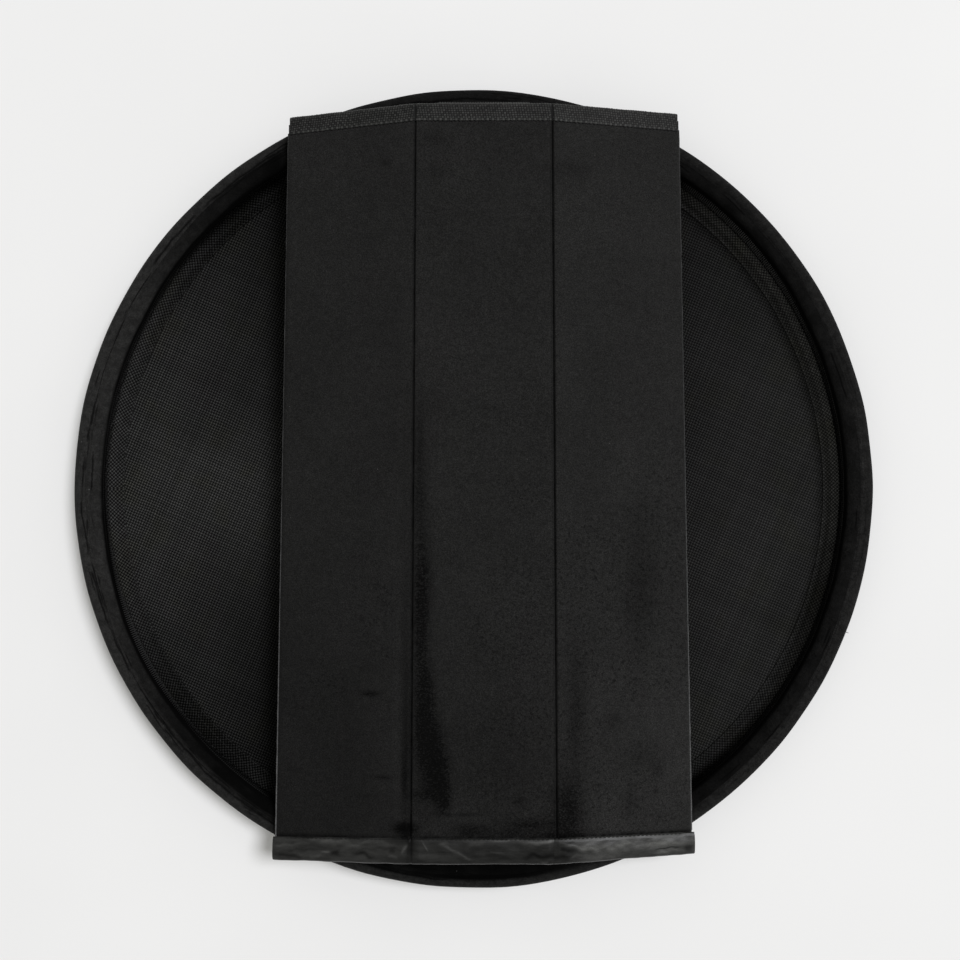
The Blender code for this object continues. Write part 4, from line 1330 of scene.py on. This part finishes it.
def blend_across(piece, name):
    """Bakes a piece's transform into its mesh. The piece is already shaped between the middle panel and
    an outer one.
    """
    middle = COVER_LENGTH / 2
    start = FRAMES["middle"].world(SIDES[name] * (half_middle(middle) - BRIDGE_HALF), middle, 0.0)
    end = FRAMES[name].world(BRIDGE_HALF, middle, 0.0)
    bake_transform(piece)


CREASE_STRIP = 5.2 * MM  # half width of the cloth that joins two panels
CREASE_DEPTH = 1.7 * MM
CREASE_WIDTH = 0.75 * MM


def build_crease(name):
    """The strip of cloth that folds between two panels."""
    half = np.array([0, 0.07, 0.13, 0.2, 0.3, 0.5, 0.8, 1])
    u = np.concatenate([-half[:0:-1], half]) * CREASE_STRIP
    tuck = 0.9 * MM * ramp(SEAM_SETBACK - 0.5 * MM, SEAM_SETBACK + 1.2 * MM, np.abs(u))
    upper = TOP - 0.05 * MM - CREASE_DEPTH * bump_at(u, 0, CREASE_WIDTH) - tuck
    section_u = np.concatenate([u, u[::-1]])[None, :]
    section_w = np.concatenate([upper, (upper - 0.5 * MM)[::-1]])[None, :]
    v = np.linspace(TAPE_WIDTH * 0.6, COVER_LENGTH - ROLL_WIDTH * 0.8, PANEL_STATIONS)[:, None]
    uneven = waves(along_turn(v), 50 + SIDES[name], (6, 40), count=16) * 0.06 * MM
    points = crease_points(name, section_u, v, section_w + uneven)
    nodes = (name + "_fold_seam",)
    strip = make_piece(name + "_crease", points, MATERIALS["panel"], nodes=nodes)
    # Painted shade along the middle of the crease, a little uneven.
    strength = 0.8 + 0.12 * waves(along_turn(v), 57 + SIDES[name], (10, 80))
    add_brushing(strip, points, strength * bump_at(section_u, 0, CREASE_WIDTH))
    blend_across(strip, name)


BRIDGE_DIP = 0.8 * MM
ROLL_DIPS = {"left": BRIDGE_DIP, "right": 0.15 * MM}


def build_bridge(name, label, place, dip, material, stored, numbers):
    """A short stretch of binding that folds at a crease."""
    u, v, w = place
    sunk = w - dip * bump_at(u, 0, 0.8 * MM) * (w > MIDDLE_W)
    points = crease_points(name, u, v, sunk)
    piece = make_piece(f"{name}_{label}", points, MATERIALS[material], sharp=60)
    store(piece, stored, numbers, points.shape[:2])
    blend_across(piece, name)


def build_bridges(name):
    """The tape and the rolled hem where they cross a crease."""
    u = np.linspace(-BRIDGE_HALF, BRIDGE_HALF, 17)[:, None]
    v, w, yarn = tape_surface(u)
    yarn = yarn * (1 - 0.85 * bump_at(u, 0, 0.8 * MM))
    build_bridge(name, "tape_fold", (u, v, w), BRIDGE_DIP, "webbing", RELIEF_SHADE, yarn)
    v, w, lay = roll_surface(name, u, 0)
    place = (u, COVER_LENGTH - v, w)
    build_bridge(name, "roll_fold", place, ROLL_DIPS[name], "coated", PAINTED_LIGHT, lay)


def stitch_line(label, name, v, roll_share, lift, pitch, length, thread):
    """A row of stitches across a panel, at v less a share of the roll's width."""
    low, high = local_span(name, name + "_end_tape")
    count = max(2, round((high - low) / pitch))
    centres = low + (np.arange(count) + 0.5) * (high - low) / count
    v = v - roll_share * roll_reach(name, centres)
    v = v + slip(name, centres, v)
    ends = [FRAMES[name].world(centres + half, v, TOP + lift) for half in (-length / 2, length / 2)]
    stitches(f"{name}_{label}", *ends, FRAMES[name].w, thread, BODIES[name])


def build_cover_stitching():
    tape_row = (TAPE_WIDTH + 0.15 * MM, 0.0, 0.1 * MM, 2.7 * MM, 1.5 * MM, 0.7 * MM)
    hem_row = (COVER_LENGTH, 0.97, 0.35 * MM, 3.0 * MM, 1.6 * MM, 0.4 * MM)
    for name in BODIES:
        stitch_line("tape_stitches", name, *tape_row)
        stitch_line("hem_stitches", name, *hem_row)


# ---- hinge


def build_webbing(node, body):
    """Ribbed webbing in the shape of a hinge node, at the cover's taped end."""
    points = node_points(node)
    low, width = points[:, 0].min(), np.ptp(points[:, 0])
    work = bmesh.new()
    work.from_mesh(frame["nodes"][node].data)
    bmesh.ops.remove_doubles(work, verts=work.verts, dist=1e-6)
    cuts = round(width / (0.3 * MM))
    for i in range(1, cuts):
        parts = work.verts[:] + work.edges[:] + work.faces[:]
        place = (low + width * i / cuts, 0, 0)
        bmesh.ops.bisect_plane(work, geom=parts, plane_co=place, plane_no=(1, 0, 0))
    work.normal_update()
    yarn = []
    for vertex in work.verts:
        along = vertex.co.x - low
        height = 0.5 - 0.5 * math.cos(along / PIP_PITCH * math.tau)
        if min(along, width - along) > MM:
            vertex.co -= vertex.normal * (1 - height) * 0.14 * MM
        yarn.append(height)
    mesh = bpy.data.meshes.new(node + "_webbing")
    work.to_mesh(mesh)
    work.free()
    piece = show(node + "_webbing", mesh, MATERIALS["webbing"], body, (node,), 50)
    # The ribs' height, from which the material paints shade between them.
    store(piece, RELIEF_SHADE, yarn)


# ---- stage


def dress_hidden_nodes():
    """Steel for the hoops and their ferrules, and board for the boards, as their solids are."""
    for name, node in frame["nodes"].items():
        inside = "steel" if "hoop" in name else "board" if "board" in name else None
        if inside:
            node.data.materials.clear()
            node.data.materials.append(MATERIALS[inside])


PHOTO_SIZE = 960
PIXELS_PER_METRE = 1425.0  # at the height of the rim's widest part
RIM_WIDEST = 19.4 * MM
CAMERA_ABOVE_RIM = 620.0 * MM
RIM_CENTRE_PIXEL = (473.5, 489.0)
SENSOR = 36.0  # millimetres


def build_camera():
    """Looks straight down, a little right of the trap's centre."""
    data = bpy.data.cameras.new("camera")
    data.sensor_width = SENSOR
    data.lens = SENSOR * PIXELS_PER_METRE * CAMERA_ABOVE_RIM / PHOTO_SIZE
    data.clip_start, data.clip_end = 0.01, 20.0
    camera = bpy.data.objects.new("camera", data)
    bpy.context.scene.collection.objects.link(camera)
    half = PHOTO_SIZE / 2
    camera.location = (
        (half - RIM_CENTRE_PIXEL[0]) / PIXELS_PER_METRE,
        (RIM_CENTRE_PIXEL[1] - half) / PIXELS_PER_METRE,
        RIM_WIDEST + CAMERA_ABOVE_RIM,
    )
    bpy.context.scene.camera = camera


def build_ground():
    size = 6.0
    mesh = bpy.data.meshes.new("ground")
    corners = [(-size, -size), (size, -size), (size, size), (-size, size)]
    mesh.from_pydata([(x, y, -0.05 * MM) for x, y in corners], [], [(0, 1, 2, 3)])
    ground = bpy.data.objects.new("ground", mesh)
    bpy.context.scene.collection.objects.link(ground)
    material, shader, where, _ = new_material("pale_ground")
    value = mapped(noise(where, 5.0), 0.3, 0.7, 0.835, 0.85)
    colour = tinted(value, (1.0, 0.998, 0.992))
    fill(shader, Base_Color=colour, Roughness=0.9, Specular_IOR_Level=0.1)
    mesh.materials.append(material)


WINDOW = (8.9, 5.6, 15.5)  # where the lamp is, pointing at the trap


def build_lamp():
    data = bpy.data.lights.new("window", "AREA")
    data.shape = "DISK"
    data.size = 7.4
    data.energy = 2670.0
    data.color = (0.965, 0.97, 1.0)
    lamp = bpy.data.objects.new("window", data)
    bpy.context.scene.collection.objects.link(lamp)
    lamp.location = WINDOW
    x, y, z = WINDOW
    lamp.rotation_euler = (0.0, math.atan2(math.hypot(x, y), z), math.atan2(y, x))


def build_sky():
    """Soft light from all round, behind which the camera sees a brighter backdrop."""
    world = bpy.data.worlds.new("world")
    bpy.context.scene.world = world
    world.use_nodes = True
    tree = world.node_tree
    sky = tree.nodes["Background"]
    fill(sky.inputs, Color=(1.0, 0.995, 0.955, 1.0), Strength=0.44)
    backdrop = add_node(tree, "ShaderNodeBackground", Color=(1.0, 1.0, 1.0, 1.0), Strength=0.85)
    camera_ray = tree.nodes.new("ShaderNodeLightPath").outputs["Is Camera Ray"]
    either = tree.nodes.new("ShaderNodeMixShader")
    for source, socket in zip((camera_ray, sky.outputs[0], backdrop.outputs[0]), either.inputs):
        put(Wire(source), socket)
    put(Wire(either.outputs[0]), tree.nodes["World Output"].inputs["Surface"])
    bpy.context.scene.view_settings.view_transform = "Standard"


# ---- the whole scene


def build():
    build_camera()
    build_ground()
    build_sky()
    build_lamp()
    build_base_rim()
    build_mouth_rim()
    build_rim_seam()
    build_floor()
    build_hem()
    for row in HEM_ROWS:
        build_hem_stitches(row)
    build_overlock()
    build_side_wall()
    for number, name in enumerate(BODIES):
        build_panel(name)
        build_tape(name)
        build_roll(name, 80 + 5 * number)
    build_edge("left", 95)
    build_edge("right", 96)
    for name in SIDES:
        build_crease(name)
        build_bridges(name)
    build_cover_stitching()
    build_webbing("cover_hinge_tab", "mouth")
    build_webbing("cover_hinge_strap", "cover")
    dress_hidden_nodes()


build()
bpy.context.view_layer.update()
